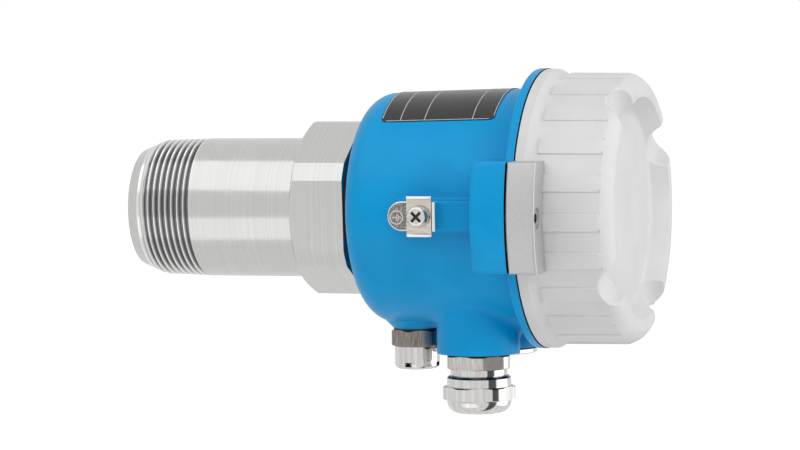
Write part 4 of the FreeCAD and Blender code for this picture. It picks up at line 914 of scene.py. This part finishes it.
steel = turned_steel()
grooves = thread_steel()
pressed = plain_finish("pressed_steel", (0.74, 0.70, 0.64), (0.86, 0.82, 0.76),
                       roughness=0.3, metallic=1.0)
saddle = saddle_steel()
stamped = stamped_steel()
screw_steel = plain_finish("screw_steel", (0.60, 0.58, 0.56), (0.78, 0.77, 0.76),
                           roughness=0.18, metallic=1.0)
earth_screw_steel = recessed_screw()
blue = painted("housing_coat", (0.0, 0.275, 0.585), (0.0, 0.31, 0.65),
               roughness=0.33, gleam=0.17, joint_x=FLANGE_FACE_X)
grey = painted("cover_coat", (0.595, 0.60, 0.597), (0.645, 0.65, 0.647),
               roughness=0.42, gleam=0.4, joint_x=COVER_FACE_X)
silver = cast_silver()
bright_nickel = nickel("bright_nickel", (0.64, 0.63, 0.615), (0.86, 0.85, 0.83), roughness=0.07)
vent_nickel = hexagon_nickel("vent_nickel", VENT_HEXAGON_Z, (0.17, 0.155, 0.14),
                             (0.38, 0.35, 0.32), roughness=0.2)
gland_nickel = hexagon_nickel("gland_nickel", GLAND_HEXAGON_Z, (0.52, 0.49, 0.46),
                              (0.76, 0.73, 0.69), roughness=0.3)
rubber = plain_finish("rubber", (0.012, 0.012, 0.012), (0.03, 0.03, 0.03), roughness=0.6)
film = plain_finish("plate_film", (0.010, 0.010, 0.011), (0.017, 0.017, 0.018), roughness=0.24)
pale_line = plain_finish("pale_line", (0.42, 0.43, 0.43), (0.55, 0.56, 0.56), roughness=0.4)
white_plastic = plain_finish("white_plastic", (0.78, 0.77, 0.73), (0.86, 0.85, 0.82),
                             roughness=0.45)
dark_plastic = plain_finish("dark_plastic", (0.03, 0.032, 0.035), (0.06, 0.063, 0.068),
                            roughness=0.5)
green_plastic = plain_finish("green_plastic", (0.02, 0.16, 0.07), (0.03, 0.22, 0.10),
                             roughness=0.42)
grey_plastic = plain_finish("grey_plastic", (0.52, 0.52, 0.50), (0.64, 0.64, 0.62),
                            roughness=0.42)
horn_metal = plain_finish("turned_aluminium", (0.66, 0.66, 0.66), (0.80, 0.80, 0.80),
                          roughness=0.25, metallic=1.0)
terminal_metal = plain_finish("terminal_metal", (0.55, 0.50, 0.36), (0.72, 0.66, 0.50),
                              roughness=0.25, metallic=1.0)
cloth = plain_finish("filter_cloth", (0.70, 0.70, 0.68), (0.84, 0.84, 0.82), roughness=0.9,
                     grain=3000.0)
lens = plain_finish("lamp_lens", (0.04, 0.42, 0.12), (0.06, 0.55, 0.18), roughness=0.15)

dress(steel, "process_connection", "lock_nut", "retaining_clip")
dress(saddle, "earth_saddle")
dress(pressed, "earth_washer", "inner_earth_washer")
dress(stamped, "earth_plate")
dress(screw_steel, "inner_earth_screw", "insert_screws", "clamp_screw")
dress(earth_screw_steel, "earth_screw")
dress(blue, "housing")
dress(silver, "cover_clamp")
dress(bright_nickel, "gland_nut", "blind_plug", "vent_cap")
dress(vent_nickel, "vent_body")
dress(gland_nickel, "gland_body")
dress(rubber, "window_seal", "neck_gasket", "vent_gasket", "gland_gasket", "plug_gasket",
      "gland_insert", "cover_seal", "module_lead")
dress(film, "name_plate")
dress(white_plastic, "window", "module_spacer", "gland_slip_ring", "range_slider", "delay_slider")
dress(dark_plastic, "electronics_insert", "switch_case")
dress(green_plastic, "terminal_block")
dress(grey_plastic, "sensitivity_adjuster", "delay_adjuster")
dress(horn_metal, "antenna_horn", "microwave_module")
dress(terminal_metal, "terminal_screws")
dress(cloth, "vent_membrane")
dress(lens, "status_lamp")

threaded_connection(steel, grooves)
ribbed_cover(grey)
plate_rules(pale_line)
earth_mark(pressed)
